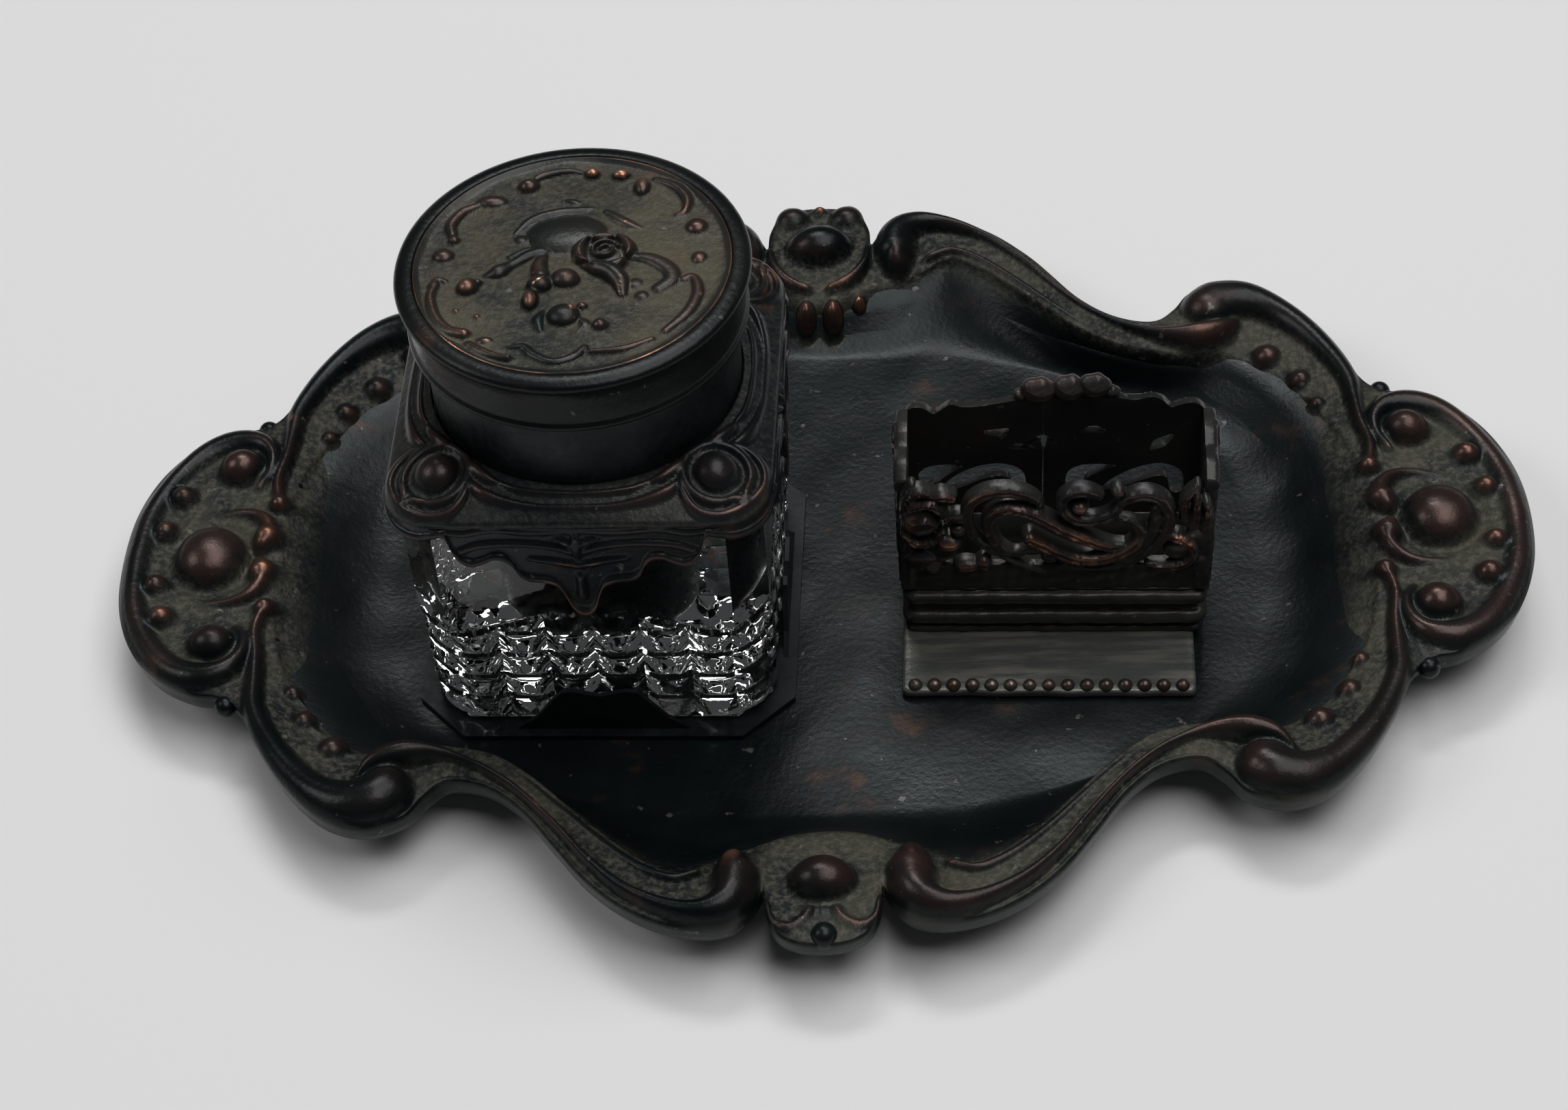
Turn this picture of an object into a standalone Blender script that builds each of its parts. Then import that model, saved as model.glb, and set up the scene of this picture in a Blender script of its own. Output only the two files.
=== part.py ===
"""Desk inkstand: a cast cartouche tray that carries a glass ink well and an openwork match box."""
import math

import bmesh
import bpy
from mathutils import Matrix, Vector

# General clearances, in metres like every length below
CLEARANCE = 0.0003
OVERRUN = 0.002
MERGE = 0.00001
ROUND_STEPS = 40

# Tray
TRAY_HALF_LENGTH = 0.129
TRAY_HALF_WIDTH = 0.0912
TRAY_RIM_HEIGHT = 0.0135
TRAY_FLOOR_TOP = 0.0042
TRAY_FLOOR_THICKNESS = 0.0018
TRAY_WALL = 0.0022
FLOOR_LENGTH_SHARE = 0.620
FLOOR_WIDTH_SHARE = 0.625
FLOOR_SQUARENESS = 2.6
RIM_ROLL_WIDTH = 0.0048
RIM_CREST_RISE = 0.0024
RIM_LIP_DROP = 0.0038
RIM_LIP_WIDTH = 0.0014
RECESS_DEPTH = 0.0006
ROLL_SINK = 0.0012
FOOT_RING_WIDTH = 0.003
FOOT_RING_INSET = 0.001
TRAY_POINTS_PER_QUARTER = 34

# Raised bosses of the tray rim: places as shares of the tray's half length and half width, and half sizes
SIDE_BOSS_SHARE = 0.882
SIDE_BOSS_RADIUS = 0.0060
SIDE_BOSS_RISE = 0.0042
LOBE_OVAL_SHARES = (0.848, 0.239)
LOBE_OVAL_RADIUS = 0.0044
LOBE_OVAL_RISE = 0.0046
CORNER_BALL_SHARES = (0.591, 0.614)
CORNER_BALL_RADIUS = 0.0062
CORNER_BALL_RISE = 0.0042
CENTRE_BOSS_SHARE = 0.866
CENTRE_BOSS_HALF_LENGTH = 0.0066
CENTRE_BOSS_HALF_WIDTH = 0.0046
CENTRE_BOSS_RISE = 0.0044
SCROLL_HEAD_SHARES = (0.117, 0.829)
SCROLL_HEAD_HALF_LENGTH = 0.0042
SCROLL_HEAD_HALF_WIDTH = 0.0060
SCROLL_HEAD_RISE = 0.0040
PENDANT_X = 0.0034
PENDANT_SHARE = 0.757
PENDANT_RADIUS = 0.0028

# Well seat and its rivet
WELL_PLACE_SHARES = (-0.294, -0.052)
WELL_TURN = math.radians(-2.24)
SEAT_MARGIN = 0.0031
SEAT_CORNER_CUT = 0.0090
SEAT_THICKNESS = 0.0008
TAB_INSET = 0.0088
TAB_HEIGHT = 0.0105
TAB_STANDOFF = 0.0006
RIVET_RADIUS = 0.0017
RIVET_HEAD_RADIUS = 0.0036
RIVET_HEAD_HEIGHT = 0.0009
RIVET_TAIL_HEIGHT = 0.0011

# Glass well
GLASS_INSET = 0.0021
GLASS_CHAMFER = 0.0059
GLASS_HEIGHT = 0.0517
GLASS_NECK_HEIGHT = 0.0087
GLASS_NECK_WALL = 0.0040
INK_FLOOR = 0.0135
INK_FLOOR_ROUND = 0.006
PUNT_RADIUS = 0.010
PUNT_DEPTH = 0.0016

# Collar, neck ring and cement
COLLAR_SHOULDER = 0.0062
COLLAR_CORNER_RADIUS = 0.0095
COLLAR_LIP = 0.0017
COLLAR_OVERLAP = 0.0013
COLLAR_EDGE_RISE = 0.0026
COLLAR_EDGE_BEVEL = 0.001
COLLAR_RISE = 0.0050
COLLAR_TOP_BAND = 0.0007
COLLAR_BOSS_INSET = 0.0086
COLLAR_BOSS_RADIUS = 0.0043
COLLAR_BOSS_RISE = 0.0021
APRON_INSET = 0.0114
APRON_DROP = 0.0205
APRON_THICKNESS = 0.0014
APRON_ROOT = 0.0010
NECK_WALL = 0.0012
NECK_HEIGHT = 0.0220
CEMENT_HEIGHT = 0.0075
CEMENT_THICKNESS = 0.0039

# Lid
LID_RADIUS = 0.0284
LID_WALL = 0.0011
LID_FIT = 0.0007
LID_LIFT = 0.0141
LID_HEIGHT = 0.0118
LID_RIM_OVERHANG = 0.0014
LID_RIM_ROLL = 0.0016
LID_RIM_SWEEP = math.radians(144)
LID_LEDGE_WIDTH = 0.0028
LID_LEDGE_THICKNESS = 0.0012
LID_PANEL_DEPTH = 0.0020
LID_BEAD_RISE = 0.0003
LID_BEAD_HEIGHT = 0.0013
PANEL_THICKNESS = 0.0012
PANEL_CROWN = 0.0008
POSY_HALF_LENGTH = 0.0105
POSY_HALF_WIDTH = 0.0080
POSY_RISE = 0.0016

# Hinge at the back of the lid
HINGE_STANDOFF = 0.0034
HINGE_RISE = 0.0010
KNUCKLE_RADIUS = 0.0022
PIN_RADIUS = 0.0009
PIN_HEAD_RADIUS = 0.0014
PIN_HEAD_HEIGHT = 0.0007
LID_KNUCKLE_HALF = 0.0032
HINGE_HALF_WIDTH = 0.0072
STRAP_THICKNESS = 0.0012
LID_STRAP_HEIGHT = 0.0062

# Openwork box on its foot plate
BOX_PLACE_SHARES = (0.327, -0.083)
BOX_TURN = math.radians(-2.5)
BOX_HALF_LENGTH = 0.0273
BOX_HALF_DEPTH = 0.0100
BOX_WALL = 0.0014
BOX_WALL_HEIGHT = 0.0260
BOX_SEAM_LEFT = 0.0020
BOX_BACK_RISE = 0.0030
PLINTH_HEIGHT = 0.0105
PLINTH_WALL = 0.0018
PLINTH_END_INSET = 0.0015
PLINTH_FRONT_INSET = 0.0001
PLINTH_CORNER = 0.0008
PLINTH_ROLL_RADIUS = 0.0016
LOWER_ROLL_HEIGHT = 0.0032
UPPER_ROLL_HEIGHT = 0.0089
FOOT_PLATE_INSET = 0.0012
FOOT_PLATE_LEFT = 0.0011
FOOT_PLATE_STEP = 0.0148
FOOT_PLATE_HEEL = 0.0014
FOOT_PLATE_THICKNESS = 0.0018
BEAD_RADIUS = 0.0013
BEAD_COUNT = 15
BEAD_END_MARGIN = 0.0024
BOX_RIVET_SHARE = 0.55
CREST_SHIFT = 0.0012
CREST_HALF_LENGTH = 0.0084
CREST_HEIGHT = 0.0046
CREST_HALF_DEPTH = 0.0017
CREST_LOBE_SHARE = 0.85
DRIP_LENGTH = 0.0110
DRIP_HALF_WIDTH = 0.0018
DRIP_STANDOFF = 0.0004

# Quarter of the tray outline from the right tip to the middle of the back edge
TRAY_OUTLINE_SHARES = [
    (1.000, 0.000), (0.992, 0.126), (0.965, 0.236), (0.922, 0.313), (0.872, 0.354),
    (0.833, 0.364), (0.802, 0.395), (0.767, 0.499), (0.725, 0.598), (0.671, 0.674),
    (0.612, 0.702), (0.562, 0.680), (0.535, 0.630), (0.504, 0.599), (0.450, 0.616),
    (0.399, 0.674), (0.357, 0.757), (0.313, 0.839), (0.264, 0.902), (0.209, 0.943),
    (0.155, 0.957), (0.115, 0.943), (0.091, 0.902), (0.079, 0.872), (0.075, 0.921),
    (0.062, 0.969), (0.034, 0.993), (0.000, 1.000)]

# Inner edge of the sunk platform behind the rim, facing each point of the outline: its place, and
# how far it lies below the rim as a share of the dish's depth
PLATFORM_EDGE_SHARES = [
    (0.769, 0.000, 0.06), (0.771, 0.071, 0.06), (0.770, 0.126, 0.06), (0.767, 0.170, 0.09), (0.762, 0.206, 0.11),
    (0.757, 0.241, 0.15), (0.747, 0.280, 0.22), (0.718, 0.356, 0.32), (0.679, 0.430, 0.34), (0.636, 0.482, 0.32),
    (0.601, 0.504, 0.22), (0.567, 0.500, 0.17), (0.535, 0.498, 0.13), (0.501, 0.507, 0.09), (0.442, 0.533, 0.04),
    (0.386, 0.590, 0.04), (0.332, 0.667, 0.04), (0.282, 0.737, 0.04), (0.239, 0.789, 0.04), (0.198, 0.816, 0.06),
    (0.161, 0.794, 0.17), (0.121, 0.763, 0.26), (0.093, 0.750, 0.24), (0.078, 0.743, 0.22), (0.065, 0.737, 0.20),
    (0.050, 0.730, 0.19), (0.025, 0.724, 0.19), (0.000, 0.721, 0.19)]

# Raised rolls and scrolls of one quarter of the rim. Each row gives the place, the half width as a
# share of the rim roll's width, and the height over the rim as a share of the crest's rise
LOBE_ROLL_SHARES = [
    (0.979, 0.000, 0.56, 0.88), (0.971, 0.116, 0.56, 0.88), (0.946, 0.213, 0.56, 0.92), (0.909, 0.285, 0.60, 1.08),
    (0.867, 0.320, 0.62, 1.29), (0.829, 0.314, 0.54, 1.46), (0.811, 0.276, 0.42, 1.54), (0.814, 0.232, 0.33, 1.50)]
NECK_ROLL_SHARES = [
    (0.788, 0.149, 0.27, 0.92), (0.786, 0.268, 0.31, 0.88), (0.778, 0.401, 0.48, 0.96), (0.722, 0.553, 0.65, 1.21),
    (0.681, 0.613, 0.77, 1.46), (0.638, 0.643, 0.98, 1.75), (0.586, 0.623, 1.15, 2.00)]
RIM_SCROLL_SHARES = [
    (0.116, 0.844, 0.92, 1.83), (0.135, 0.912, 0.75, 1.75), (0.166, 0.925, 0.56, 1.54), (0.211, 0.909, 0.42, 1.29),
    (0.262, 0.866, 0.31, 1.08), (0.352, 0.719, 0.25, 0.92), (0.447, 0.586, 0.25, 0.96), (0.491, 0.553, 0.29, 1.13),
    (0.532, 0.536, 0.46, 1.42), (0.571, 0.537, 0.60, 1.67), (0.605, 0.554, 0.48, 1.38)]

# Half of a hanging apron of the collar, from its outer top corner to its tip
APRON_SHARES = [
    (0.99, 0.22), (0.92, 0.33), (0.82, 0.38), (0.72, 0.34), (0.62, 0.29),
    (0.53, 0.35), (0.48, 0.48), (0.40, 0.55), (0.27, 0.57), (0.17, 0.62), (0.10, 0.80),
    (0.06, 0.94), (0.00, 1.00)]

# Half of a seat tab, from its foot to the dip in the middle of its top edge
TAB_SHARES = [
    (1.00, 0.00), (0.74, 0.32), (0.52, 0.78), (0.42, 0.97), (0.30, 1.00), (0.12, 0.93), (0.00, 0.88)]

# Front wall: x as a share of the half length, height as a share of the wall height
FRONT_SHARES = [
    (-1.00, 0.00), (-1.00, 0.62), (-0.97, 0.90), (-0.86, 0.97), (-0.73, 0.93), (-0.63, 0.88),
    (-0.59, 0.79), (-0.55, 0.83), (-0.49, 0.93), (-0.35, 1.00), (-0.18, 0.98), (-0.06, 0.87),
    (0.00, 0.80), (0.05, 0.88), (0.13, 0.96), (0.27, 0.98), (0.38, 0.93), (0.46, 0.95),
    (0.60, 1.00), (0.71, 0.92), (0.77, 0.77), (0.80, 0.62), (0.83, 0.66), (0.82, 0.84),
    (0.87, 1.04), (0.95, 0.90), (1.00, 0.70), (1.00, 0.00)]
FRONT_HOLE_SHARES = [
    [(-0.33, 0.68), (-0.24, 0.72), (-0.13, 0.67), (-0.08, 0.59), (-0.17, 0.51), (-0.27, 0.44), (-0.34, 0.55)],
    [(0.10, 0.57), (0.22, 0.66), (0.38, 0.64), (0.46, 0.55), (0.40, 0.46), (0.27, 0.47), (0.16, 0.51)],
    [(-0.60, 0.54), (-0.55, 0.63), (-0.50, 0.48), (-0.41, 0.33), (-0.51, 0.31), (-0.59, 0.41)],
    [(0.73, 0.40), (0.79, 0.52), (0.83, 0.44), (0.79, 0.33)]]

# Back wall holes, one set for each half, measured from the half's outer end or from the seam
BACK_HOLE_SHARES = [
    [(0.13, 0.44), (0.40, 0.46), (0.16, 0.22)],
    [(0.27, 0.20), (0.50, 0.40), (0.72, 0.46), (0.85, 0.42), (0.88, 0.24), (0.81, 0.20), (0.77, 0.33),
     (0.62, 0.35), (0.44, 0.25)],
    [(0.62, 0.75), (0.66, 0.84), (0.82, 0.83), (0.80, 0.76)]]
BACK_TOP_SHARES = [
    (0.00, 0.00), (0.08, 0.12), (0.20, 0.02), (0.32, 0.40), (0.44, 0.34), (0.70, 0.62), (1.00, 0.80)]
SIDE_TOP_SHARES = [(-1.00, -0.06), (-0.60, 0.04), (-0.20, -0.02), (0.20, 0.05), (0.60, 0.00), (1.00, 0.06)]

# Ring sections of the tray: (how far in, height), as shares of the named rim sizes
CREST_INSET_SHARE = 0.50
ROLL_SHOULDER_SHARE = 0.17
ROLL_SHOULDER_RISE_SHARE = 0.66
INNER_ROLL_SHARE = 0.78
INNER_ROLL_RISE_SHARE = 0.45
PLATFORM_SHARES = [0.14, 0.30, 0.46, 0.64, 0.82, 1.00]
COVE_SHARES = [0.22, 0.44, 0.66, 0.86]
UNDER_SHARES = [0.34, 0.68]
PLATFORM_LEVEL_SHARE = 0.25
PLATFORM_POWER = 1.3
COVE_POWER = 1.6

# Lengths that follow from the sizes above
FLOOR_HALF_LENGTH = FLOOR_LENGTH_SHARE * TRAY_HALF_LENGTH
FLOOR_HALF_WIDTH = FLOOR_WIDTH_SHARE * TRAY_HALF_WIDTH
LID_RIM_RADIUS = LID_RADIUS + LID_RIM_OVERHANG
NECK_RADIUS = LID_RADIUS - LID_WALL - LID_FIT
COLLAR_HALF = NECK_RADIUS + COLLAR_SHOULDER
COLLAR_BOSS_PLACE = COLLAR_HALF - COLLAR_BOSS_INSET
APRON_HALF_WIDTH = COLLAR_HALF - APRON_INSET
GLASS_HALF = COLLAR_HALF - GLASS_INSET
GLASS_NECK_RADIUS = NECK_RADIUS - NECK_WALL - CEMENT_THICKNESS
INK_BORE_RADIUS = GLASS_NECK_RADIUS - GLASS_NECK_WALL
SEAT_HALF = GLASS_HALF + SEAT_MARGIN
TAB_HALF_WIDTH = SEAT_HALF - SEAT_CORNER_CUT - TAB_INSET
PLINTH_HALF_LENGTH = BOX_HALF_LENGTH - PLINTH_END_INSET
PLINTH_HALF_DEPTH = BOX_HALF_DEPTH - PLINTH_FRONT_INSET
FOOT_PLATE_HALF_LENGTH = BOX_HALF_LENGTH - FOOT_PLATE_INSET
FOOT_PLATE_FRONT = BOX_HALF_DEPTH + FOOT_PLATE_STEP
FOOT_PLATE_BACK = BOX_HALF_DEPTH + FOOT_PLATE_HEEL
BOX_RIVET_SPREAD = BOX_RIVET_SHARE * BOX_HALF_LENGTH

# Heights that follow from the sizes above
FLOOR_UNDER = TRAY_FLOOR_TOP - TRAY_FLOOR_THICKNESS
SEAT_TOP = TRAY_FLOOR_TOP + CLEARANCE + SEAT_THICKNESS
GLASS_BASE = SEAT_TOP + CLEARANCE
GLASS_TOP = GLASS_BASE + GLASS_HEIGHT
COLLAR_UNDER = GLASS_TOP + CLEARANCE
COLLAR_LIP_BOTTOM = GLASS_TOP - COLLAR_OVERLAP
COLLAR_TOP = COLLAR_UNDER + COLLAR_RISE
NECK_TOP = COLLAR_UNDER + NECK_HEIGHT
LID_BOTTOM = COLLAR_TOP + LID_LIFT
LID_TOP = LID_BOTTOM + LID_HEIGHT
HINGE_Y = LID_RADIUS + HINGE_STANDOFF
HINGE_Z = LID_BOTTOM + HINGE_RISE
PLATE_BOTTOM = TRAY_FLOOR_TOP + CLEARANCE
PLATE_TOP = PLATE_BOTTOM + FOOT_PLATE_THICKNESS
PLINTH_BOTTOM = PLATE_TOP + CLEARANCE
WALL_BOTTOM = PLINTH_BOTTOM + PLINTH_HEIGHT + CLEARANCE

for old in list(bpy.data.objects):
    bpy.data.objects.remove(old, do_unlink=True)

parts = bpy.data.collections.new("desk_inkstand")
bpy.context.scene.collection.children.link(parts)
cutters = bpy.data.collections.new("cutters")
bpy.context.scene.collection.children.link(cutters)


def metal(name, colour, roughness, metallic):
    """A plain surface for one kind of piece."""
    made = bpy.data.materials.new(name)
    made.use_nodes = True
    shader = made.node_tree.nodes["Principled BSDF"]
    shader.inputs["Base Color"].default_value = (*colour, 1.0)
    shader.inputs["Roughness"].default_value = roughness
    shader.inputs["Metallic"].default_value = metallic
    return made


def glass(name, colour, roughness):
    """Clear pressed glass."""
    made = metal(name, colour, roughness, 0.0)
    made.node_tree.nodes["Principled BSDF"].inputs["Transmission Weight"].default_value = 1.0
    return made


bronze = metal("patinated_bronze", (0.045, 0.052, 0.050), 0.42, 0.85)
dark_steel = metal("blackened_sheet", (0.020, 0.024, 0.024), 0.50, 0.80)
copper = metal("copper_rivet", (0.30, 0.16, 0.10), 0.40, 0.95)
clear_glass = glass("pressed_glass", (0.92, 0.95, 0.94), 0.03)
plaster = metal("cement", (0.55, 0.52, 0.46), 0.90, 0.0)


def empty(name, place, turn, parent=None):
    """A frame that carries pieces."""
    made = bpy.data.objects.new(name, None)
    parts.objects.link(made)
    made.location = place
    made.rotation_euler = (0, 0, turn)
    made.parent = parent
    return made


def add(name, mesh, material, parent=None, smooth=35):
    """An object for one piece, shaded smooth up to an angle in degrees."""
    made = bpy.data.objects.new(name, mesh)
    parts.objects.link(made)
    made.parent = parent
    mesh.materials.append(material)
    if smooth:
        mesh.shade_smooth()
        mesh.set_sharp_from_angle(angle=math.radians(smooth))
    return made


def cutter(name, mesh, parent=None):
    """An object that only cuts or joins another one."""
    made = bpy.data.objects.new(name, mesh)
    cutters.objects.link(made)
    made.parent = parent
    made.hide_render = True
    made.display_type = "WIRE"
    return made


def boolean(target, tool, operation):
    """Joins the tool to the target, or takes it away."""
    step = target.modifiers.new(tool.name, "BOOLEAN")
    step.operation = operation
    step.object = tool
    step.solver = "EXACT"


def smooth_loop(points, per_span):
    """Points along a closed curve through the given ones."""
    count = len(points)
    made = []
    for i in range(count):
        before, start, end, after = (Vector(points[(i + k) % count]) for k in (-1, 0, 1, 2))
        for j in range(per_span):
            t = j / per_span
            square = 2 * before - 5 * start + 4 * end - after
            cube = 3 * start - before - 3 * end + after
            made.append(0.5 * (2 * start + (end - before) * t + square * t ** 2 + cube * t ** 3))
    return made


def even_loop(points, count):
    """The same number of points along a closed line, evenly spaced."""
    lengths = [0.0]
    for i in range(len(points)):
        lengths.append(lengths[-1] + math.dist(points[i][:2], points[(i + 1) % len(points)][:2]))
    made = []
    i = 0
    for k in range(count):
        want = lengths[-1] * k / count
        while lengths[i + 1] < want:
            i += 1
        t = (want - lengths[i]) / (lengths[i + 1] - lengths[i])
        made.append(points[i].lerp(points[(i + 1) % len(points)], t))
    return made


def loft(name, rings, closed):
    """A skin over rings of equal count; an open run of rings is capped at both ends."""
    mesh = bpy.data.meshes.new(name)
    bm = bmesh.new()
    rows = [[bm.verts.new(p) for p in ring] for ring in rings]
    count = len(rows[0])
    pairs = list(zip(rows, rows[1:]))
    if closed:
        pairs.append((rows[-1], rows[0]))
    for low, high in pairs:
        for i in range(count):
            j = (i + 1) % count
            bm.faces.new((low[i], low[j], high[j], high[i]))
    if not closed:
        bm.faces.new(list(reversed(rows[0])))
        bm.faces.new(rows[-1])
    bm.to_mesh(mesh)
    bm.free()
    return mesh


def turned(name, profile, material, parent=None, steps=ROUND_STEPS):
    """A piece turned about Z from a closed (radius, height) profile that runs down its outer side."""
    made = add(name, profile_mesh(name, profile), material, parent, smooth=0)
    screw(made, steps)
    return made


def profile_mesh(name, profile):
    """The profile's edges, closed unless both ends lie on the axis."""
    mesh = bpy.data.meshes.new(name)
    count = len(profile)
    on_axis = profile[0][0] == 0 and profile[-1][0] == 0
    edges = [(i, i + 1) for i in range(count - 1)] + ([] if on_axis else [(count - 1, 0)])
    mesh.from_pydata([(r, 0, z) for r, z in profile], edges, [])
    return mesh


def screw(made, steps):
    """Turns a profile object once round Z."""
    turn = made.modifiers.new("turn", "SCREW")
    turn.angle = math.tau
    turn.steps = steps
    turn.render_steps = steps
    turn.use_merge_vertices = True
    turn.merge_threshold = MERGE
    turn.use_smooth_shade = True


def turned_cutter(name, profile, parent=None, steps=ROUND_STEPS):
    """A turned solid that cuts or joins."""
    made = cutter(name, profile_mesh(name, profile), parent)
    screw(made, steps)
    return made


def rod_profile(radius, low, high):
    """The profile of a plain cylinder."""
    return [(0, high), (radius, high), (radius, low), (0, low)]


def box_mesh(name, low, high):
    """A plain block between two corners."""
    mesh = bpy.data.meshes.new(name)
    bm = bmesh.new()
    bmesh.ops.create_cube(bm, size=1)
    size = Vector(high) - Vector(low)
    middle = (Vector(high) + Vector(low)) / 2
    bmesh.ops.scale(bm, vec=size, verts=bm.verts)
    bmesh.ops.translate(bm, vec=middle, verts=bm.verts)
    bm.to_mesh(mesh)
    bm.free()
    return mesh


def ellipsoids(name, items, around, rows):
    """Separate ellipsoids in one mesh, each given as (centre, half sizes)."""
    mesh = bpy.data.meshes.new(name)
    bm = bmesh.new()
    for centre, sizes in items:
        made = bmesh.ops.create_uvsphere(bm, u_segments=around, v_segments=rows, radius=1)
        bmesh.ops.scale(bm, vec=sizes, verts=made["verts"])
        bmesh.ops.translate(bm, vec=centre, verts=made["verts"])
    bm.to_mesh(mesh)
    bm.free()
    return mesh


def flat_mesh(name, outline, holes, thickness, upright):
    """A flat plate from closed outlines, lying in XY or standing in XZ, centred on its thickness."""
    curve = bpy.data.curves.new(name, "CURVE")
    curve.dimensions = "2D"
    curve.fill_mode = "BOTH"
    curve.extrude = thickness / 2
    for loop in [outline] + holes:
        line = curve.splines.new("POLY")
        line.points.add(len(loop) - 1)
        for point, (x, y) in zip(line.points, loop):
            point.co = (x, y, 0, 1)
        line.use_cyclic_u = True
    holder = bpy.data.objects.new(name, curve)
    cutters.objects.link(holder)
    bpy.context.view_layer.update()
    mesh = bpy.data.meshes.new_from_object(holder.evaluated_get(bpy.context.evaluated_depsgraph_get()))
    bpy.data.objects.remove(holder)
    bm = bmesh.new()
    bm.from_mesh(mesh)
    bmesh.ops.remove_doubles(bm, verts=bm.verts, dist=MERGE)
    if upright:
        bmesh.ops.rotate(bm, verts=bm.verts, cent=(0, 0, 0), matrix=Matrix.Rotation(math.pi / 2, 3, "X"))
    bmesh.ops.recalc_face_normals(bm, faces=bm.faces)
    bm.to_mesh(mesh)
    bm.free()
    mesh.materials.clear()
    return mesh


def moved(mesh, matrix):
    """The mesh after a move or turn."""
    mesh.transform(matrix)
    return mesh


def joined(name, meshes):
    """One mesh that holds several separate solids."""
    bm = bmesh.new()
    for mesh in meshes:
        bm.from_mesh(mesh)
    made = bpy.data.meshes.new(name)
    bm.to_mesh(made)
    bm.free()
    return made


def both_sides(half):
    """A symmetric outline from its right half, which runs from the outer end to the middle."""
    return half + [(-x, y) for x, y in reversed(half[:-1])]


def tray_stations():
    """The outline, the platform edge that faces it and that edge's depth, starting at the right tip."""
    quarter = []
    for (x, y), (edge_x, edge_y, depth) in zip(TRAY_OUTLINE_SHARES, PLATFORM_EDGE_SHARES):
        outer = (TRAY_HALF_LENGTH * x, TRAY_HALF_WIDTH * y)
        inner = (TRAY_HALF_LENGTH * edge_x, TRAY_HALF_WIDTH * edge_y)
        quarter.append(outer + inner + (depth * (TRAY_RIM_HEIGHT - TRAY_FLOOR_TOP),))
    back = quarter + [(-x, y, -u, v, depth) for x, y, u, v, depth in reversed(quarter[:-1])]
    loop = back + [(x, -y, u, -v, depth) for x, y, u, v, depth in reversed(back[1:-1])]
    return even_loop(smooth_loop(loop, 6), 4 * TRAY_POINTS_PER_QUARTER)


def squared(value):
    """The oval's cosine or sine, filled out towards the corners."""
    return math.copysign(abs(value) ** (2 / FLOOR_SQUARENESS), value)


def squared_angle(x, y):
    """The angle whose filled-out cosine and sine point along (x, y)."""
    power = FLOOR_SQUARENESS / 2
    return math.atan2(math.copysign(abs(y) ** power, y), math.copysign(abs(x) ** power, x))


def floor_outline(outline):
    """The floor's oval, with one point facing each point of the outline."""
    angles = []
    for point in outline:
        angle = squared_angle(point.x / FLOOR_HALF_LENGTH, point.y / FLOOR_HALF_WIDTH)
        while angles and angle < angles[-1] - math.pi:
            angle += math.tau
        angles.append(angle)
    count = len(angles)
    reach = TRAY_POINTS_PER_QUARTER // 6
    made = []
    for i in range(count):
        total = 0.0
        for k in range(-reach, reach + 1):
            total += angles[(i + k) % count] + math.tau * ((i + k) // count)
        angle = total / (2 * reach + 1)
        x = FLOOR_HALF_LENGTH * squared(math.cos(angle))
        made.append(Vector((x, FLOOR_HALF_WIDTH * squared(math.sin(angle)))))
    return made


def between(starts, ends, inset, share):
    """Places that lie an inset in from the starts, then a share of the way on to the ends."""
    made = []
    for outer, inner in zip(starts, ends):
        way = inner - outer
        made.append(outer + way.normalized() * (inset + share * (way.length - inset)))
    return made


def rim_rolls():
    """The rolls of one quarter of the rim as rows of place, half width and height of the top."""
    made = []
    for shares in (LOBE_ROLL_SHARES, NECK_ROLL_SHARES, RIM_SCROLL_SHARES):
        path = []
        for x, y, width, rise in shares:
            top = TRAY_RIM_HEIGHT + rise * RIM_CREST_RISE
            path.append(Vector((x * TRAY_HALF_LENGTH, y * TRAY_HALF_WIDTH, width * RIM_ROLL_WIDTH, top)))
        made.append(path)
    return made


def on_roll(place, rolls, height):
    """The height at a place, raised where a round-backed roll runs over it."""
    spot = Vector((abs(place.x), abs(place.y)))
    foot = TRAY_RIM_HEIGHT - ROLL_SINK
    for path in rolls:
        for a, b in zip(path, path[1:]):
            run = Vector(b[:2]) - Vector(a[:2])
            t = min(max((spot - Vector(a[:2])).dot(run) / run.length_squared, 0), 1)
            row = a.lerp(b, t)
            gap = (spot - Vector(row[:2])).length / row[2]
            if gap < 1:
                height = max(height, foot + (row[3] - foot) * math.sqrt(1 - gap * gap))
    return height


def surface_ring(places, heights, rolls):
    """A ring of the tray's upper side with the rolls raised on it."""
    return [(p.x, p.y, on_roll(p, rolls, height)) for p, height in zip(places, heights)]


def plain_ring(places, heights):
    """A ring of the tray's under side."""
    return [(p.x, p.y, height) for p, height in zip(places, heights)]


def floor_ring(floor, inset, height):
    """A ring that lies an inset inside the floor's oval."""
    return [((1 - inset / p.length) * p.x, (1 - inset / p.length) * p.y, height) for p in floor]


def placed(shares, side, end):
    """A place on the rim from its shares of the tray's half length and half width."""
    return (side * shares[0] * TRAY_HALF_LENGTH, end * shares[1] * TRAY_HALF_WIDTH, TRAY_RIM_HEIGHT)


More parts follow.
